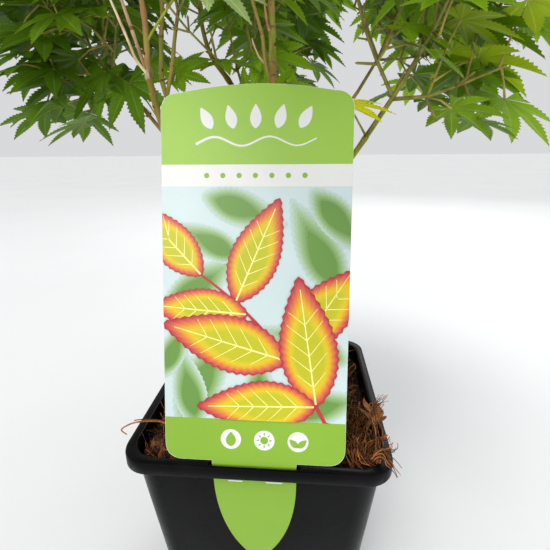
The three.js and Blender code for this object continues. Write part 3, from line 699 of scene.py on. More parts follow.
def pot_cuts():
    cuts = []
    for x in HOLE_GRID:
        for y in HOLE_GRID:
            if x or y:
                path = np.array([(x, y, z) for z in (-2, -1, 2, 3)], dtype=float)
                cuts.append(cutter("hole", *tube(path, [HOLE_RADIUS] * 4, HOLE_SIDES)))
    half = NECK_WIDTH / 2 + SLOT_SPARE
    middle = -(wall_width(POT_HEIGHT - LEDGE) + SKIRT_GAP) / 2
    deep = SKIRT_GAP / 2 - 0.05
    corners = [(x, middle + y, POT_HEIGHT + z) for z in (-3, 3)
               for x, y in ((-half, -deep), (half, -deep), (half, deep), (-half, deep))]
    sides = [(i, (i + 1) % 4, (i + 1) % 4 + 4, i + 4) for i in range(4)]
    cuts.append(cutter("slot", corners, [(3, 2, 1, 0), (4, 5, 6, 7), *sides]))
    return cuts


def make_pot():
    skin = Skin()
    rings = [rounded_square(width, z) for width, z in pot_profile()]
    skin.add(np.vstack(rings), tube_faces(len(rings), len(rings[0])))
    pot = skin.piece("pot_shell", "pot", [LOOKS["pot"]], replaces=("pot",))
    cuts = pot_cuts()
    for cut in cuts:
        modifier = pot.modifiers.new("cut", "BOOLEAN")
        modifier.operation = "DIFFERENCE"
        modifier.solver = "EXACT"
        modifier.object = cut
    graph = bpy.context.evaluated_depsgraph_get()
    mesh = bpy.data.meshes.new_from_object(pot.evaluated_get(graph))
    pot.modifiers.clear()
    pot.data = mesh
    for cut in cuts:
        bpy.data.objects.remove(cut)
    mesh.set_sharp_from_angle(angle=CRISP_ANGLE)


# Potting mix

def mix_height(x, y):
    """The uneven top of the potting mix, which falls towards the pot's wall."""
    edge = max(abs(x), abs(y)) / MIX_HALF
    place = Vector((x, y, 0))
    rough = sum(height * noise.noise(place / width) for height, width in MIX_ROUGHNESS)
    return MIX_TOP + MIX_MOUND + rough - MIX_EDGE_DROP * edge ** 5


def make_mix_surface():
    steps = np.linspace(-MIX_HALF, MIX_HALF, MIX_CELLS + 1)
    count = len(steps)
    points = [(x, y, mix_height(x, y) + 0.25 * noise.noise(Vector((x, y, 5)) / 1.2))
              for y in steps for x in steps]
    faces = [(r * count + c, r * count + c + 1, (r + 1) * count + c + 1, (r + 1) * count + c)
             for r in range(MIX_CELLS) for c in range(MIX_CELLS)]
    skin = Skin()
    skin.add(points, faces)
    skin.piece("mix_surface", "potting_mix", [LOOKS["soil"]])


def chip(random, centre, size):
    """A rough piece of bark: a box with its corners pushed about, turned any way."""
    box = np.array([(x, y, z) for z in (-1, 1) for y in (-1, 1) for x in (-1, 1)], dtype=float)
    box *= random.uniform(0.6, 1.15, box.shape)
    box *= np.array([size, size * random.uniform(0.25, 0.6), size * random.uniform(0.12, 0.3)]) / 2
    turn = (Matrix.Rotation(random.uniform(0, 2 * math.pi), 3, "Z")
            @ Matrix.Rotation(random.normal(0, 0.35), 3, "X")
            @ Matrix.Rotation(random.normal(0, 0.3), 3, "Y"))
    points = box @ np.array(turn).T + centre
    faces = [(0, 2, 3, 1), (4, 5, 7, 6), (0, 1, 5, 4), (1, 3, 7, 5), (3, 2, 6, 7), (2, 0, 4, 6)]
    return points, faces


def on_mix(random, margin):
    """A place on the mix, clear of the trunk's foot."""
    while True:
        x, y = random.uniform(margin - MIX_HALF, MIX_HALF - margin, 2)
        if math.hypot(x - 1, y - 7) > FLARE_RADIUS:
            return x, y


def make_chips(random):
    skin = Skin()
    for _ in range(CHIPS):
        size = random.uniform(1.6, 5) if random.random() < 0.8 else random.uniform(5, 10)
        x, y = on_mix(random, size / 2 + 0.6)
        centre = (x, y, mix_height(x, y) + random.uniform(0, 0.8))
        shape = chip(random, centre, size)
        skin.add(*shape, int(random.choice(len(CHIP_ODDS), p=CHIP_ODDS)))
    skin.piece("mix_chips", "potting_mix", looks_of("chip", CHIP_COLORS), smooth=False)


def fibre(skin, random, start, heading, length, radius, lift, look):
    """A coir fibre that wanders from its start and sinks back towards the mix."""
    points = [np.array(start, dtype=float)]
    way = np.array(heading, dtype=float)
    curl = random.normal(0, 0.28)
    for i in range(FIBRE_STEPS):
        turn = np.array([-way[1], way[0], 0]) * (curl + random.normal(0, 0.16))
        way = unit(way + turn + UP * (lift * (0.5 - i / FIBRE_STEPS) + random.normal(0, 0.12)))
        points.append(points[-1] + way * length / FIBRE_STEPS)
    radii = np.linspace(radius, radius * 0.5, FIBRE_STEPS + 1)
    skin.add(*tube(points, radii, 4), look)


def make_fibres(random):
    skin = Skin()
    for _ in range(FIBRES):
        x, y = on_mix(random, 7)
        angle = random.uniform(0, 2 * math.pi)
        heading = (math.cos(angle), math.sin(angle), 0.05)
        start = (x, y, mix_height(x, y) + 0.5)
        length = min(random.uniform(5, 17), MIX_HALF + 3 - max(abs(x), abs(y)) + 4)
        radius = random.uniform(0.1, 0.24)
        look = int(random.integers(len(FIBRE_COLORS)))
        fibre(skin, random, start, heading, length, radius, 0.35, look)
    right_tuft(skin, random)
    left_tuft(skin, random)
    left_curl(skin)
    skin.piece("mix_fibres", "potting_mix", looks_of("fibre", FIBRE_COLORS))


def strand(skin, random, route, radius, look):
    """One root-like strand along a route, wavering on its way and frayed at its end."""
    nudge = np.cumsum(random.normal(0, 0.6, (len(route), 3)), axis=0)
    shares = np.linspace(0, random.uniform(0.7, 1), STRAND_POINTS)
    path = Limb(np.array(route) + nudge).at(shares)
    waver = [noise.noise_vector(Vector(point) / 3.5 + Vector(nudge[-1])) for point in path]
    path = path + 0.9 * np.array([tuple(way) for way in waver])
    skin.add(*tube(path, radius * np.linspace(1, 0.35, STRAND_POINTS), 5), look)


def right_tuft(skin, random):
    """Coir that climbs the right wall and hangs over the front right corner. Further back along the
    wall the fibres are all in the darkest colour, as painted shade.
    """
    for route in STRANDS:
        for i in range(STRANDS_PER_ROUTE):
            strand(skin, random, route, random.uniform(0.16, 0.36), i % 3)
    for i in range(TUFT_FIBRES):
        y = random.uniform(-48, -12)
        start = (random.uniform(38, 48.5), y, MIX_TOP - 1.5)
        heading = (random.uniform(-0.3, 0.6), random.uniform(-0.7, 0.5), random.uniform(0.2, 0.9))
        length = random.uniform(5, 12)
        fibre(skin, random, start, heading, length, random.uniform(0.08, 0.2), 0.4, i % 3)
    # All in the darkest fibre colour, as painted shade further back along the right wall
    for _ in range(WALL_FIBRES):
        start = (random.uniform(38, 48.5), random.uniform(-16, 30), MIX_TOP - 1.5)
        heading = (random.uniform(-0.3, 0.6), random.uniform(-0.7, 0.5), random.uniform(0.2, 0.9))
        fibre(skin, random, start, heading, random.uniform(4, 9), random.uniform(0.08, 0.18), 0.4, 2)


def left_tuft(skin, random):
    """Short rusty coir between the label and the left front corner."""
    for i in range(TUFT_FIBRES):
        start = (random.uniform(-48, -30), random.uniform(-48, -14), MIX_TOP - 1.2)
        heading = (random.uniform(-0.6, 0.6), random.uniform(-0.7, 0.7), random.uniform(0.1, 0.7))
        length = random.uniform(4, 9)
        fibre(skin, random, start, heading, length, random.uniform(0.08, 0.2), 0.3, i % 3)


def left_curl(skin):
    """A strand that arches out over the left rim and hooks back, and a thinner one beside it."""
    path = Limb(CURL).at(np.linspace(0, 1, CURL_POINTS))
    radii = 0.32 * np.sin(np.linspace(0.9, 2.6, CURL_POINTS)) + 0.08
    skin.add(*tube(path, radii, 5), 1)
    count = CURL_BRANCH_POINTS
    beside = path[:count] + np.linspace(0, 1.3, count)[:, None] * (0.2, 0.5, 0.6)
    skin.add(*tube(beside, radii[:count] * 0.6, 5), 0)


def make_dry_leaf():
    """A dead leaf, curled up on the tuft at the right wall."""
    points, faces, mapped = leaf_template(0.9)
    skin = Skin()
    roll = points.copy()
    roll[:, 1] = 0.45 * np.sin(points[:, 1] * 2.4)
    roll[:, 2] += 0.55 * points[:, 1] ** 2 + 0.25 * np.sin(6 * points[:, 0])
    turn = np.array(Matrix.Rotation(math.radians(115), 3, "Z") @ Matrix.Rotation(-1.0, 3, "Y"))
    skin.add(roll * DRY_LEAF_LENGTH @ turn.T + (50, -27, 112), faces, 0, mapped)
    skin.piece("dry_leaf", "dead_wood", [LOOKS["dry_leaf"]])


# Label

def quadratic(start, control, end, steps=10):
    shares = np.linspace(0, 1, steps + 1)[1:, None]
    start, control, end = (np.array(p, dtype=float) for p in (start, control, end))
    return [*(((1 - shares) ** 2) * start + 2 * shares * (1 - shares) * control + shares ** 2 * end)]


def label_body(inset=0.0):
    """Outline of the body in width and height over the fold, drawn in by an inset."""
    half = LABEL_WIDTH / 2 - inset
    neck = NECK_WIDTH / 2 - inset
    foot = LABEL_FOOT + inset
    side = LABEL_HEIGHT - LABEL_ARCH - inset
    top = LABEL_HEIGHT + LABEL_ARCH - inset
    right = [(neck, 0), (neck, foot), (half - LABEL_SHOULDER, foot)]
    right += quadratic(right[-1], (half, foot), (half, foot + LABEL_SHOULDER))
    right += [(half, side - LABEL_CORNER)]
    right += quadratic(right[-1], (half, side), (half - LABEL_CORNER, side))
    left = [(-x, y) for x, y in reversed(right)]
    return right + quadratic(right[-1], (0, top), left[0], 16)[:-1] + left


def label_tongue(inset=0.0):
    half = NECK_WIDTH / 2 - inset
    reach = TONGUE_REACH - inset
    shares = np.linspace(0, 1, 16)
    corners = np.array([(half, -TONGUE_STRAIGHT), (half, -0.5 * reach), (0.7 * half, -0.84 * reach),
                        (0, -reach)])
    weights = np.array([(1 - shares) ** 3, 3 * shares * (1 - shares) ** 2,
                        3 * shares ** 2 * (1 - shares), shares ** 3]).T
    right = [(half, LABEL_THICKNESS / 4), *(weights @ corners)]
    return right + [(-x, y) for x, y in reversed(right[:-1])]


class Plate:
    """One plane of the folded label. Turns outlines, at a depth, into points."""

    def __init__(self, lean):
        self.rise = np.array([0, math.sin(lean), math.cos(lean)])
        self.front = np.array([0, -math.cos(lean), math.sin(lean)])

    def at(self, outline, depth):
        fold = np.array([0, LABEL_FOLD_Y, POT_HEIGHT])
        outline = np.array(outline, dtype=float)
        return (fold + outline[:, :1] * np.array([1.0, 0, 0]) + outline[:, 1:] * self.rise
                + depth * self.front)


def plate_solid(skin, plate, outline, look):
    depth = LABEL_THICKNESS / 2
    count = len(outline)
    points = np.vstack([plate.at(outline, depth), plate.at(outline, -depth)])
    faces = [tuple(range(count)), tuple(reversed(range(count, 2 * count)))]
    faces += [(i, i + count, (i + 1) % count + count, (i + 1) % count) for i in range(count)]
    skin.add(points, faces, look)


def oval_leaf(foot, turn, length, width, inset=0.0):
    """Outline of a pointed leaf with a toothed margin, from its foot, turned from upright."""
    steps = 32
    right = []
    for i in range(1, steps):
        share = i / steps
        half = width / 2 * math.sin(math.pi * share ** 0.8) ** 0.9
        tooth = (0.035 * width if i % 2 else 0) * (1 - inset)
        right.append(((half + tooth) * (1 - inset), length * (share + inset * (0.35 - share))))
    outline = [(0, length * inset * 0.35), *right, (0, length * (1 - 0.65 * inset))]
    outline += [(-x, y) for x, y in reversed(right)]
    cos, sin = math.cos(turn), math.sin(turn)
    return [(foot[0] + x * cos + y * sin, foot[1] - x * sin + y * cos) for x, y in outline]


def stroke(path, width):
    """Outline of a line of a given width through points, tapering to its end."""
    path = np.array(path, dtype=float)
    along = np.gradient(path, axis=0)
    along /= np.linalg.norm(along, axis=1)[:, None]
    across = np.stack([-along[:, 1], along[:, 0]], axis=1)
    half = np.linspace(width / 2, width / 4, len(path))[:, None]
    return [*(path - across * half), *(path + across * half)[::-1]]


def disc(centre, radius):
    angles = np.arange(DISC_SIDES) * 2 * math.pi / DISC_SIDES
    return [(centre[0] + radius * math.cos(a), centre[1] + radius * math.sin(a)) for a in angles]


def rectangle(left, low, right, high):
    return [(left, low), (right, low), (right, high), (left, high)]


def picture():
    """The label's picture, as layers of (ink, outline, hole) from the back: a slanting sprig
    of plain pointed leaves, yellow with red margins, before soft green ones."""
    half = LABEL_WIDTH / 2 - PRINT_INSET
    layers = [[("mist", rectangle(-half, PANEL[0], half, PANEL[1]), None)]]
    for x, y, turn, length in GREEN_LEAVES:
        layers.append(bands("cool", COOL_STEPS, 0.07, (x, y), turn, length, 0.38 * length))
    stem = [PICTURE_STEM[0], *quadratic(*PICTURE_STEM, 24)]
    layers.append([("red", stroke(stem, 1.6), None)])
    for place, turn, length in YELLOW_LEAVES:
        layers.append(bands("warm", WARM_STEPS, 0.035, stem[place], turn, length, 0.42 * length))
        layers.append(leaf_ribs(stem[place], turn, length))
    return [[(ink, clipped(outline, half), hole and clipped(hole, half))
             for ink, outline, hole in layer] for layer in layers]


def bands(inks, steps, inset, foot, turn, length, width):
    """A leaf whose colour changes from the margin to the middle, in bands side by side."""
    outlines = [oval_leaf(foot, turn, length, width, inset * i) for i in range(steps)] + [None]
    return [(f"{inks}_{i}", outlines[i], outlines[i + 1]) for i in range(steps)]


def leaf_ribs(foot, turn, length):
    """A middle rib and five pairs of side ribs."""
    along = np.array([math.sin(turn), math.cos(turn)])
    across = np.array([along[1], -along[0]])
    ribs = [stroke([foot + along * length * share for share in (0.02, 0.5, 0.9)], 0.7)]
    for share in (0.16, 0.28, 0.4, 0.52, 0.64):
        for side in (-1, 1):
            start = foot + along * length * share + across * side * 0.3
            reach = 0.14 * length * math.sin(math.pi * (share + 0.1))
            way = across * side * reach + along * reach
            ribs.append(stroke([start, start + way / 2, start + way], 0.35))
    return [("light_yellow", rib, None) for rib in ribs]


def clipped(outline, half):
    """An outline kept to the picture's panel."""
    return [(min(half, max(-half, x)), min(PANEL[1], max(PANEL[0], y))) for x, y in outline]


def ornaments():
    """A plain row of leaves over a wave on the green head, dots on the band and three signs."""
    half = LABEL_WIDTH / 2 - PRINT_INSET
    low, high = BAND
    top = [point for point in label_body(PRINT_INSET) if point[1] > high]
    # The head over the band is printed in the lighter lime, as painted light for the stronger light
    # on it
    under = [("lime_painted_light", [(half, high), *top, (-half, high)]),
             ("white", rectangle(-half, low, half, high))]
    under += [("white", disc((x, SIGN_HEIGHT), SIGN_RADIUS)) for x in SIGN_PLACES]
    wave = [(x, WAVE_HEIGHT + 1.6 * math.sin(x / 3.2)) for x in np.linspace(-22, 22, 60)]
    marks = [("white", stroke(wave, 0.9))]
    marks += [("white", oval_leaf((8 * i, 127.5), 0.25 * i, 8.5, 4)) for i in range(-2, 3)]
    marks += [("lime", disc((6 * i, (low + high) / 2), 0.95)) for i in range(-3, 4)]
    marks += [("lime", outline) for outline in signs()]
    return [[(ink, outline, None) for ink, outline in layer] for layer in (under, marks)]


def signs():
    """Outlines on the three discs at the label's foot: a leaf, a sun and a pair of leaves."""
    first, second, third = SIGN_PLACES
    sun = np.array([second, SIGN_HEIGHT])
    outlines = [oval_leaf((first, 7.6), 0, 5.8, 3.8), disc(sun, 1.5)]
    for i in range(8):
        way = np.array([math.cos(i * math.pi / 4), math.sin(i * math.pi / 4)])
        outlines.append(stroke([sun + way * r for r in (2, 2.5, 3)], 0.6))
    return outlines + [oval_leaf((third, 8.2), turn, 4.6, 2.4) for turn in (-0.8, 0.8)]


def print_shape(skin, plate, outline, hole, depth, look):
    """A flat shape of one ink, or the band between an outline and the one inside it."""
    points = plate.at(outline, depth)
    if hole is None:
        skin.add(points, [tuple(range(len(points)))], look)
        return
    count = len(points)
    points = np.vstack([points, plate.at(hole, depth)])
    faces = []
    for i in range(count):
        face = (i, (i + 1) % count, (i + 1) % count + count, i + count)
        first, second = points[face[2]] - points[face[0]], points[face[3]] - points[face[1]]
        if np.linalg.norm(np.cross(first, second)) > LEAST_PRINT_AREA:
            faces.append(face)
    skin.add(points, faces, look)


def printed_layers(body, tongue):
    """What is printed on the label's two planes, as layers of (ink, outline, hole)."""
    low, high = SLIT_HEIGHTS
    slits = [("white", rectangle(left, low, right, high), None) for left, right in TONGUE_SLITS]
    return {
        body: [[("lime", label_body(PRINT_INSET), None)], *ornaments(), *picture()],
        tongue: [[("lime", label_tongue(PRINT_INSET), None)], slits],
    }


def make_label():
    inks = list(all_inks())
    ledge = POT_HEIGHT - LEDGE
    body = Plate(LABEL_LEAN)
    tongue = Plate(math.atan((BASE_WIDTH - wall_width(ledge)) / 2 / ledge))
    front = LABEL_THICKNESS / 2
    skin = Skin()
    plate_solid(skin, body, label_body(), inks.index("white"))
    plate_solid(skin, tongue, label_tongue(), inks.index("lime"))
    for plate, layers in printed_layers(body, tongue).items():
        for i, layer in enumerate(layers):
            depth = front + (i + 1) * PRINT_LAYER
            for ink, outline, hole in layer:
                print_shape(skin, plate, outline, hole, depth, inks.index(ink))
    back = body.at(label_body(PRINT_INSET), -front - PRINT_LAYER)
    skin.add(back, [tuple(reversed(range(len(back))))], inks.index("lime"))
    materials = [LOOKS[ink] for ink in inks]
    skin.piece("label_sheet", "label", materials, smooth=False, replaces=("plant_label",))


# Limbs

class Limb:
    """A smooth curve through points, and its radius by the share of the curve passed."""

    def __init__(self, points, radii=(0, 0), name="", look=""):
        self.name = name
        self.look = look
        self.points = np.array(points, dtype=float)
        self.radii = radii
        self.length = np.linalg.norm(np.diff(self.at(np.linspace(0, 1, 200)), axis=0), axis=1).sum()

    def at(self, shares):
        points = self.points
        count = len(points) - 1
        place = np.clip(np.asarray(shares, dtype=float), 0, 1) * count
        index = np.minimum(place.astype(int), count - 1)
        w = (place - index)[:, None]
        padded = np.vstack([2 * points[0] - points[1], points, 2 * points[-1] - points[-2]])
        before, start, end, after = (padded[index + i] for i in range(4))
        slope, end_slope = (end - before) / 2, (after - start) / 2
        cubic = 2 * start - 2 * end + slope + end_slope
        square = 3 * (end - start) - 2 * slope - end_slope
        return start + slope * w + square * w ** 2 + cubic * w ** 3

    def radius(self, shares):
        return self.radii[0] + (self.radii[1] - self.radii[0]) * np.asarray(shares)


def make_limbs():
    limbs = {}
    for name, joins, points, radii, look in LIMBS:
        root = [limbs[joins[0]].points[joins[1]]] if joins else []
        limbs[name] = Limb([*root, *points], radii, name, look)
    return limbs


def relief(path, run, radii, random, nodes, rough):
    """Radii at each corner of a limb's skin: swollen at nodes, with ridges along the stem."""
    factor = np.ones((len(path), LIMB_SIDES))
    for node in nodes:
        away = (run - node) / NODE_HALF_LENGTH
        factor += (NODE_SWELL * np.exp(-away ** 2))[:, None]
    offset = random.uniform(0, 100)
    for i in range(len(path)):
        for j in range(LIMB_SIDES):
            angle = 2 * math.pi * j / LIMB_SIDES
            place = Vector((2 * math.cos(angle), 2 * math.sin(angle), run[i] / 7 + offset))
            factor[i, j] += rough * noise.noise(place)
    return radii[:, None] * factor


def add_buds(skin, limb, random, share, look):
    """Two small pointed buds on opposite sides of a node."""
    place, beyond = limb.at([share, min(1, share + 0.01)])
    along = unit(beyond - place)
    side = unit(np.cross(along, random.normal(0, 1, 3)))
    radius = float(limb.radius(share))
    for way in (-1, 1):
        foot = place + side * way * radius * 0.9
        tip = foot + unit(side * way + along * 1.6) * 1.5
        path = [foot, foot + (tip - foot) * 0.35, foot + (tip - foot) * 0.7, tip]
        skin.add(*tube(path, [0.35, 0.42, 0.28, 0.05], 6), look)


def limb_radii(limb, shares, path):
    """Radii of a limb at shares of its curve, with the root flare on the trunk."""
    radii = limb.radius(shares)
    if limb.name == "trunk":
        rise = path[:, 2] - path[0, 2]
        radii = radii + (FLARE_RADIUS - radii[0]) * np.clip(1 - rise / FLARE_HEIGHT, 0, 1) ** 1.6
    return radii


def dealt_looks(name, path, points, run, nodes):
    """The number of the look of each face: 0 node, 1 bud, 2 pale scar, 3 and up the barks."""
    height = path[:-1, 2] - POT_HEIGHT
    rings = [3 + sum(z > low for low, _ in ZONES.get(name, ())) for z in height]
    marked = [np.abs(run[:-1] - node) < NODE_MARK for node in nodes]
    marked += [np.abs(height - scar) < half for limb, scar, half in SCARS if limb == name]
    for mark in marked:
        for level in np.nonzero(mark)[0]:
            rings[level] = 0
    faces = [look for look in rings for _ in range(LIMB_SIDES)]
    pale, scar, half = SCARS[0]
    if name == pale:
        for face, look in enumerate(faces):
            level = face // LIMB_SIDES
            is_scar = abs(height[level] - scar) < half
            if look == 0 and is_scar and points[face][0] < path[level][0]:
                faces[face] = 2
    return [*faces, rings[0], rings[-1]]


def limb_skin(limb, is_dead, random):
    """A limb's skin with its nodes, scars and buds."""
    name = limb.name
    is_trunk = name == "trunk"
    path = limb.at(np.linspace(0, 1, round(limb.length / LIMB_STEP) + 1))
    shares = np.linspace(0, 1, len(path))
    run = np.concatenate([[0], np.cumsum(np.linalg.norm(np.diff(path, axis=0), axis=1))])
    nodes = list(np.arange(0.6, limb.length / NODE_SPACING) * NODE_SPACING)
    scars = [run[np.argmin(np.abs(path[:, 2] - POT_HEIGHT - height))]
             for owner, height, _ in SCARS if owner == name]
    swells = scars * 2 if name == SCARS[0][0] else scars
    rough = COARSE_RELIEF if is_trunk or is_dead else BARK_RELIEF
    corners = relief(path, run, limb_radii(limb, shares, path), random, nodes + swells, rough)
    points, faces = tube(path, corners, LIMB_SIDES)
    skin = Skin()
    skin.add(points, faces, dealt_looks(name, path, points, run, nodes))
    if not is_trunk and not is_dead:
        for node in nodes[1:]:
            add_buds(skin, limb, random, node / limb.length, 1)
    return skin


def make_limb_pieces(limbs):
    random = np.random.default_rng(LIMB_SEED)
    for name, limb in limbs.items():
        is_dead = limb.look.startswith("dead")
        slot = "dead_wood" if is_dead else "green_bark" if name.startswith("shoot") else "bark"
        barks = [limb.look, *(look for _, look in ZONES.get(name, ()))]
        materials = [LOOKS[look] for look in ("node_scar", "bud", "pale_scar", *barks)]
        skin = limb_skin(limb, is_dead, random)
        skin.piece(f"{name}_bark", slot, materials, replaces=(name,))
    make_stubs()


def make_stubs():
    """Dead ends on the middle boughs: a short grey twig, and a flake of brown bark."""
    skin = Skin()
    twig = [over(0.9, 2, 150.3), over(-1.2, 1, 152.4), over(-2.2, 0, 154.6), over(-3.3, 0, 157.1),
            over(-3.6, -1, 158.6)]
    skin.add(*tube(twig, [0.5, 0.38, 0.3, 0.34, 0.15], 7), 0)
    flake = [over(3.2, 0.8, 161.2), over(2.1, 0.4, 164.8), over(1.6, 0.3, 168.8), over(1.1, 0.2, 174)]
    skin.add(*tube(flake, [0.75, 0.6, 0.45, 0.2], 7), 1)
    skin.piece("dead_stubs", "dead_wood", [LOOKS["dead_peach"], LOOKS["bark_flake"]])


# Foliage

def lobe_stations(length, width, teeth):
    """Middle and margin of one lobe: places along it and half widths, teeth and all."""
    foot = NOTCH * math.tan(LOBE_GAP)
    stations = [(0.0, 0.0, 0.0)]
    for along in (0.55 * NOTCH, NOTCH):
        stations.append((along, along, along * math.tan(LOBE_GAP)))
    steps = 2 * teeth
    for i in range(1, steps + 1):
        share = i / (steps + 1)
        along = NOTCH + (length - NOTCH) * share
        bulge = math.sin(math.pi * (0.36 + 0.64 * share)) / math.sin(math.pi * 0.36)
        half = foot * (1 - share) ** 3 + width * bulge ** 1.25 * (1 - (1 - share) ** 3)
        half = max(0.01, half)
        is_tip = i % 2 == 1
        stations.append((along, along + (0.022 if is_tip else 0), half * (1.13 if is_tip else 0.9)))
    stations.append((length, length, 0.0))
    return stations


def leaf_template(fold):
    """Points, faces and (along, off the rib) of a leaf of length 1, middle lobe along X.
    Each lobe is folded up along its rib and falls towards its tip."""
    points, faces, mapped = [], [], []
    lobes = [(angle * way, *rest) for angle, *rest in LOBES
             for way in ((1, -1) if angle else (1,))]
    for angle, length, width, teeth in lobes:
        turn = math.radians(angle)
        cos, sin = math.cos(turn), math.sin(turn)
        for side in (1, -1):
            base = len(points)
            stations = lobe_stations(length, width, teeth)
            for middle, margin, half in stations:
                drop = LOBE_DROP * middle ** 2
                for along, off, part in ((middle, 0, 0), (margin, half, 1)):
                    x = along * cos - side * off * sin
                    y = along * sin + side * off * cos
                    points.append((x, y, fold * off * FOLD_RISE - drop))
                    mapped.append((middle, part))
            for i in range(len(stations) - 1):
                a = base + 2 * i
                quad = (a, a + 2, a + 3, a + 1)
                faces.append(quad if side > 0 else quad[::-1])
    return np.array(points), faces, np.array(mapped)


TEMPLATES = [leaf_template(fold) for fold in FOLDS]
OUTLINE = np.array([(length * math.cos(math.radians(angle * way)),
                     length * math.sin(math.radians(angle * way)), -LOBE_DROP * length ** 2)
                    for angle, length, _, _ in LOBES for way in (1, -1)])


def seeded(seed):
    """The same numbers from 0 to 1 on every run, from a linear congruential rule."""
    state = seed
    while True:
        state = (state * 1664525 + 1013904223) % 2 ** 32
        yield state / 2 ** 32


class Leaf:
    """A leaf's place: where its stalk starts and ends, its axes, length and tint."""

    def __init__(self, foot, junction, heading, roll, length, tint):
        self.foot = foot
        self.junction = junction
        across = unit(np.cross(UP, heading))
        across = across * math.cos(roll) + np.cross(heading, across) * math.sin(roll)
        self.axes = np.array([heading, across, np.cross(heading, across)])
        self.length = length
        self.tint = tint
        self.outline = self.place(OUTLINE)

    def place(self, points):
        return self.junction + self.length * points @ self.axes


class Spray:
    """Twigs and leaves grown from the tips of limbs, in pairs, each pair turned a quarter from
    the last. What would leave the mass's space, or touch a limb or a leaf, is tried in more
    poses and then skipped."""

    def __init__(self, mass, index, limbs):
        self.name, starts, self.centre, self.reach, self.tints = mass
        self.others = np.array([other[2] for other in MASSES if other is not mass])
        samples = [(limb.at(shares), limb.radius(shares)) for limb in limbs.values()
                   for shares in [np.linspace(0, 1, round(limb.length / 2))]]
        self.limb_points = np.vstack([points for points, _ in samples])
        self.limb_radii = np.concatenate([radii for _, radii in samples])
        low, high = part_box(self.name)
        self.low = np.array(low) / MM - BOX_GROWTH
        self.high = np.array(high) / MM + BOX_GROWTH
        self.random = seeded(FIRST_SEED + SEED_STEP * index)
        self.twigs = []
        self.leaves = []
        self.spray = 0
        for start in starts:
            limb = limbs[start]
            tip, before = limb.points[-1], limb.at([0.98])[0]
            along = unit(tip - before)
            aim = unit(unit(self.centre - tip) + along)
            self.shoot(tip - along * SHOOT_OVERLAP, limb.radii[1], aim, 0)

    def chance(self):
        return next(self.random)

    def wander(self, direction, attempt):
        turn = np.array([2 * self.chance() - 1 for _ in range(3)])
        return direction + turn * (WANDER + WANDER_STEP * attempt)

    def spread(self, share):
        return 1 + share * (self.chance() - 0.5)

    def shoot(self, foot, radius, direction, level):
        nodes, internode = LEVELS[level]
        twig = [(foot, radius)]
        side = unit(np.cross(direction, UP))
        along = direction
        for node in range(1, nodes + 1):
            step = self.next_node(twig[-1], along, internode)
            if step is None:
                break
            point, along = step
            radius = max(LEAST_RADIUS, radius * TWIG_TAPER)
            twig.append((point, radius))
            side = unit(np.cross(side, along))
            for i, way in enumerate((1, -1)):
                out = side * way
                place = point - along * PAIR_SETBACK * (i + 0.5)
                if level < 2 and node < nodes:
                    self.spray += 1
                    branch = unit(out + along * BRANCH_FORWARD)
                    thin = max(LEAST_BRANCH_RADIUS, radius * TWIG_TAPER)
                    self.shoot(place, thin, branch, level + 1)
                    if level == 1:
                        self.add_leaf(place, along, out)
                else:
                    self.add_leaf(place, along, out)
        if len(twig) > 1:
            self.twigs.append(twig)
            self.add_leaf(twig[-1][0], along, along)

    def next_node(self, last, direction, internode):
        start, radius = last
        for attempt in range(TRIES):
            along = unit(self.wander(direction, attempt) + UP * TWIG_LIFT)
            point = start + along * internode * self.spread(INTERNODE_SPREAD)
            if self.is_free(np.array([point, (start + point) / 2]), radius):
                return point, along
        return None

    def add_leaf(self, foot, along, out):
        for attempt in range(TRIES):
            leaf = self.leaf_pose(foot, along, self.wander(out, attempt))
            if self.leaf_fits(leaf):
                self.leaves.append(leaf)
                return

    def leaf_pose(self, foot, along, out):
        length = LEAF_LENGTH * self.spread(LEAF_SPREAD)
        stalk = STALK_LENGTH + STALK_SPREAD * self.chance()
        droop = LEAST_DROOP + DROOP_SPREAD * self.chance()
        roll = ROLL_SPREAD * (self.chance() - 0.5)
        rise = unit(unit(out) + along * STALK_FORWARD + UP * STALK_LIFT)
        heading = unit(unit(rise * (1, 1, 0)) - UP * droop)
        tint = self.tints[self.spray % len(self.tints)]
        return Leaf(foot, foot + rise * stalk, heading, roll, length, tint)

    def leaf_fits(self, leaf):
        between = (leaf.outline + leaf.junction) / 2
        stalk = leaf.foot + (leaf.junction - leaf.foot) * 0.6
        body = np.vstack([stalk, leaf.junction, leaf.outline, between])
        return (self.is_free(body, 0) and self.off_limbs(leaf)
                and not any(meet(leaf, other) for other in self.leaves))

    def is_free(self, points, radius):
        own = np.linalg.norm(points - self.centre, axis=1)
        if (own > self.reach).any() or (points < self.low).any() or (points > self.high).any():
            return False
        others = np.linalg.norm(points[:, None] - self.others[None], axis=2)
        if (others - own[:, None] < SPACE_GAP).any():
            return False
        limbs = np.linalg.norm(points[:, None] - self.limb_points[None], axis=2)
        return not (limbs < self.limb_radii + radius + LIMB_GAP).any() and clear_of_label(points)

    def off_limbs(self, leaf):
        """Whether each lobe's middle passes the limbs by the lobe's half width."""
        near = np.abs(self.limb_points - leaf.junction).max(axis=1) < leaf.length * 1.3
        points, radii = self.limb_points[near], self.limb_radii[near]
        if not len(points):
            return True
        lobes = leaf.outline - leaf.junction
        offset = points - leaf.junction
        share = np.clip((offset @ lobes.T) / (lobes ** 2).sum(axis=1), 0, 1)
        gap = np.linalg.norm(offset[:, None] - share[:, :, None] * lobes[None], axis=2)
        return not (gap < (radii + LIMB_GAP)[:, None] + LOBE_HALF_WIDTH * leaf.length).any()


def clear_of_label(points):
    height = points[:, 2] - POT_HEIGHT
    plate = math.tan(LABEL_LEAN) * height - RIM_WIDTH / 2
    return ((height > LABEL_HEIGHT + LABEL_GAP) | (points[:, 1] > plate + 2 * LABEL_GAP)).all()


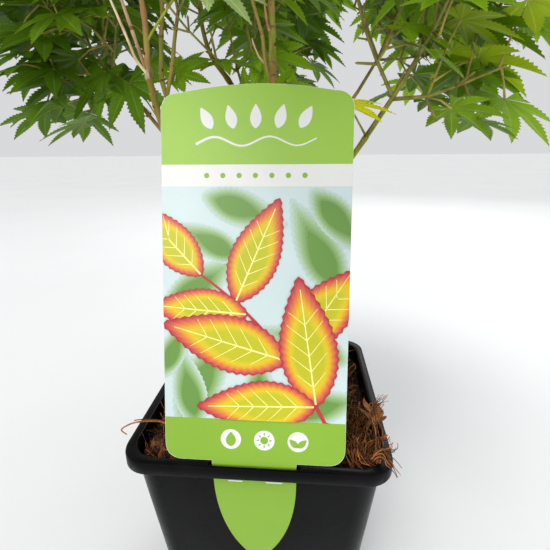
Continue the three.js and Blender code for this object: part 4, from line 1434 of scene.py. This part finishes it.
def crosses(leaf, other):
    """Whether a spoke of one leaf passes through the other's disc."""
    apart = np.abs(leaf.junction - other.junction).max()
    if apart > leaf.length + other.length:
        return False
    normal = other.axes[2]
    start = (leaf.junction - other.junction).dot(normal)
    ends = (leaf.outline - other.junction) @ normal
    through = start * ends < 0
    if not through.any():
        return False
    share = (start / (start - ends[through]))[:, None]
    hits = leaf.junction + (leaf.outline[through] - leaf.junction) * share
    return (np.linalg.norm(hits - other.junction, axis=1) < LEAF_OVERLAP * other.length).any()


def meet(leaf, other):
    return crosses(leaf, other) or crosses(other, leaf)


def add_stalk(skin, leaf):
    """A stalk that leaves the twig outwards and bends over into the blade."""
    end = leaf.junction
    bend = leaf.foot + (end - leaf.foot) * 0.6 + UP * 0.08 * np.linalg.norm(end - leaf.foot)
    into = end + leaf.axes[0] * 0.6
    path = [leaf.foot, (leaf.foot + bend) / 2, bend, end, into]
    skin.add(*tube(path, [0.6, STALK_RADIUS, STALK_RADIUS, 0.5, 0.3], 5), 1)


def add_twig(skin, twig):
    """A twig that ends in a small bud."""
    path = [point for point, _ in twig]
    bud = path[-1] + unit(path[-1] - path[-2]) * np.array([[0.9], [1.8]])
    skin.add(*tube([*path, *bud], [*(radius for _, radius in twig), 0.5, 0.1], 6), 0)


def single_leaf(limbs, limb, share, junction, heading, roll, length, tint):
    return Leaf(limbs[limb].at([share])[0], junction, unit(np.array(heading)), roll, length, tint)


def make_foliage(limbs):
    """Each mass's blades and twigs. A leaf of the rule gives way to the single ones."""
    singles = [(name, single_leaf(limbs, *pose)) for name, *pose in SINGLE_LEAVES]
    for index, mass in enumerate(MASSES):
        spray = Spray(mass, index, limbs)
        leaves = [single for name, single in singles if name == spray.name]
        leaves += [leaf for leaf in spray.leaves
                   if not any(meet(leaf, single) for _, single in singles)]
        blades, wood = Skin(), Skin()
        for i, leaf in enumerate(leaves):
            points, faces, mapped = TEMPLATES[i % len(TEMPLATES)]
            blades.add(leaf.place(points), faces, leaf.tint, mapped)
            add_stalk(wood, leaf)
        for twig in spray.twigs:
            add_twig(wood, twig)
        blades.piece(f"{spray.name}_blades", "foliage", looks_of("leaf", LEAF_COLORS),
                     replaces=(spray.name,))
        wood.piece(f"{spray.name}_twigs", "foliage", [LOOKS["twig"], LOOKS["stalk"]],
                   replaces=(spray.name,))


# Setting

def make_stage():
    bpy.ops.mesh.primitive_plane_add(size=FLOOR_SIZE)
    floor = bpy.context.object
    floor.name = "floor"
    floor.data.materials.append(material("floor", (0.63, 0.64, 0.65), 0.8, mottled(3, 0.98, 1.02)))


def add_light(name, kind, energy, color, way):
    data = bpy.data.lights.new(name, kind)
    data.energy = energy
    data.color = color
    light = bpy.data.objects.new(name, data)
    light.rotation_euler = way.to_track_quat("-Z", "Y").to_euler()
    bpy.context.collection.objects.link(light)
    return light


def make_light():
    world = bpy.data.worlds.new("studio")
    world.use_nodes = True
    background = world.node_tree.nodes["Background"]
    background.inputs["Color"].default_value = (*WORLD_COLOR, 1)
    background.inputs["Strength"].default_value = WORLD_STRENGTH
    bpy.context.scene.world = world
    for name, energy, way in SUNS:
        sun = add_light(name, "SUN", energy, SUN_COLOR, Vector(way))
        sun.data.angle = SUN_ANGLE
    for name, place, size, power, color in LAMPS:
        lamp = add_light(name, "AREA", power, color, Vector(LAMP_TARGET) - Vector(place))
        lamp.location = place
        lamp.data.size = size


def set_colours():
    """Plain display colours, so that black plastic and printed inks keep their strength."""
    bpy.context.scene.view_settings.view_transform = "Standard"


def make_camera():
    """The photo's camera, turned by its yaw, pitch and roll."""
    level = math.cos(CAMERA_PITCH)
    forward = Vector((math.sin(CAMERA_YAW) * level, math.cos(CAMERA_YAW) * level,
                      -math.sin(CAMERA_PITCH)))
    right = Vector((math.cos(CAMERA_YAW), -math.sin(CAMERA_YAW), 0))
    upward = right.cross(forward)
    rolled = right * math.cos(CAMERA_ROLL) + upward * math.sin(CAMERA_ROLL)
    top = upward * math.cos(CAMERA_ROLL) - right * math.sin(CAMERA_ROLL)
    data = bpy.data.cameras.new("photo")
    data.sensor_width = SENSOR_WIDTH
    data.lens = LENS
    data.clip_start = 0.005
    camera = bpy.data.objects.new("photo", data)
    turn = Matrix((rolled, top, -forward)).transposed().to_4x4()
    camera.matrix_world = Matrix.Translation(Vector(CAMERA_PLACE) * MM) @ turn
    bpy.context.collection.objects.link(camera)
    bpy.context.scene.camera = camera


def paint_frame():
    """The potting mix is the one CAD solid that stays in view. It takes the look of soil."""
    for name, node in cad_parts.items():
        look = LOOKS["soil" if name == "potting_mix" else "bark_olive"]
        node.data.materials.clear()
        node.data.materials.append(look)


paint_frame()
make_pot()
make_mix_surface()
chance = np.random.default_rng(MIX_SEED)
noise.seed_set(MIX_SEED)  # the strands waver the same on every run
make_chips(chance)
make_fibres(chance)
make_dry_leaf()
make_label()
all_limbs = make_limbs()
make_limb_pieces(all_limbs)
make_foliage(all_limbs)
make_stage()
make_light()
set_colours()
make_camera()
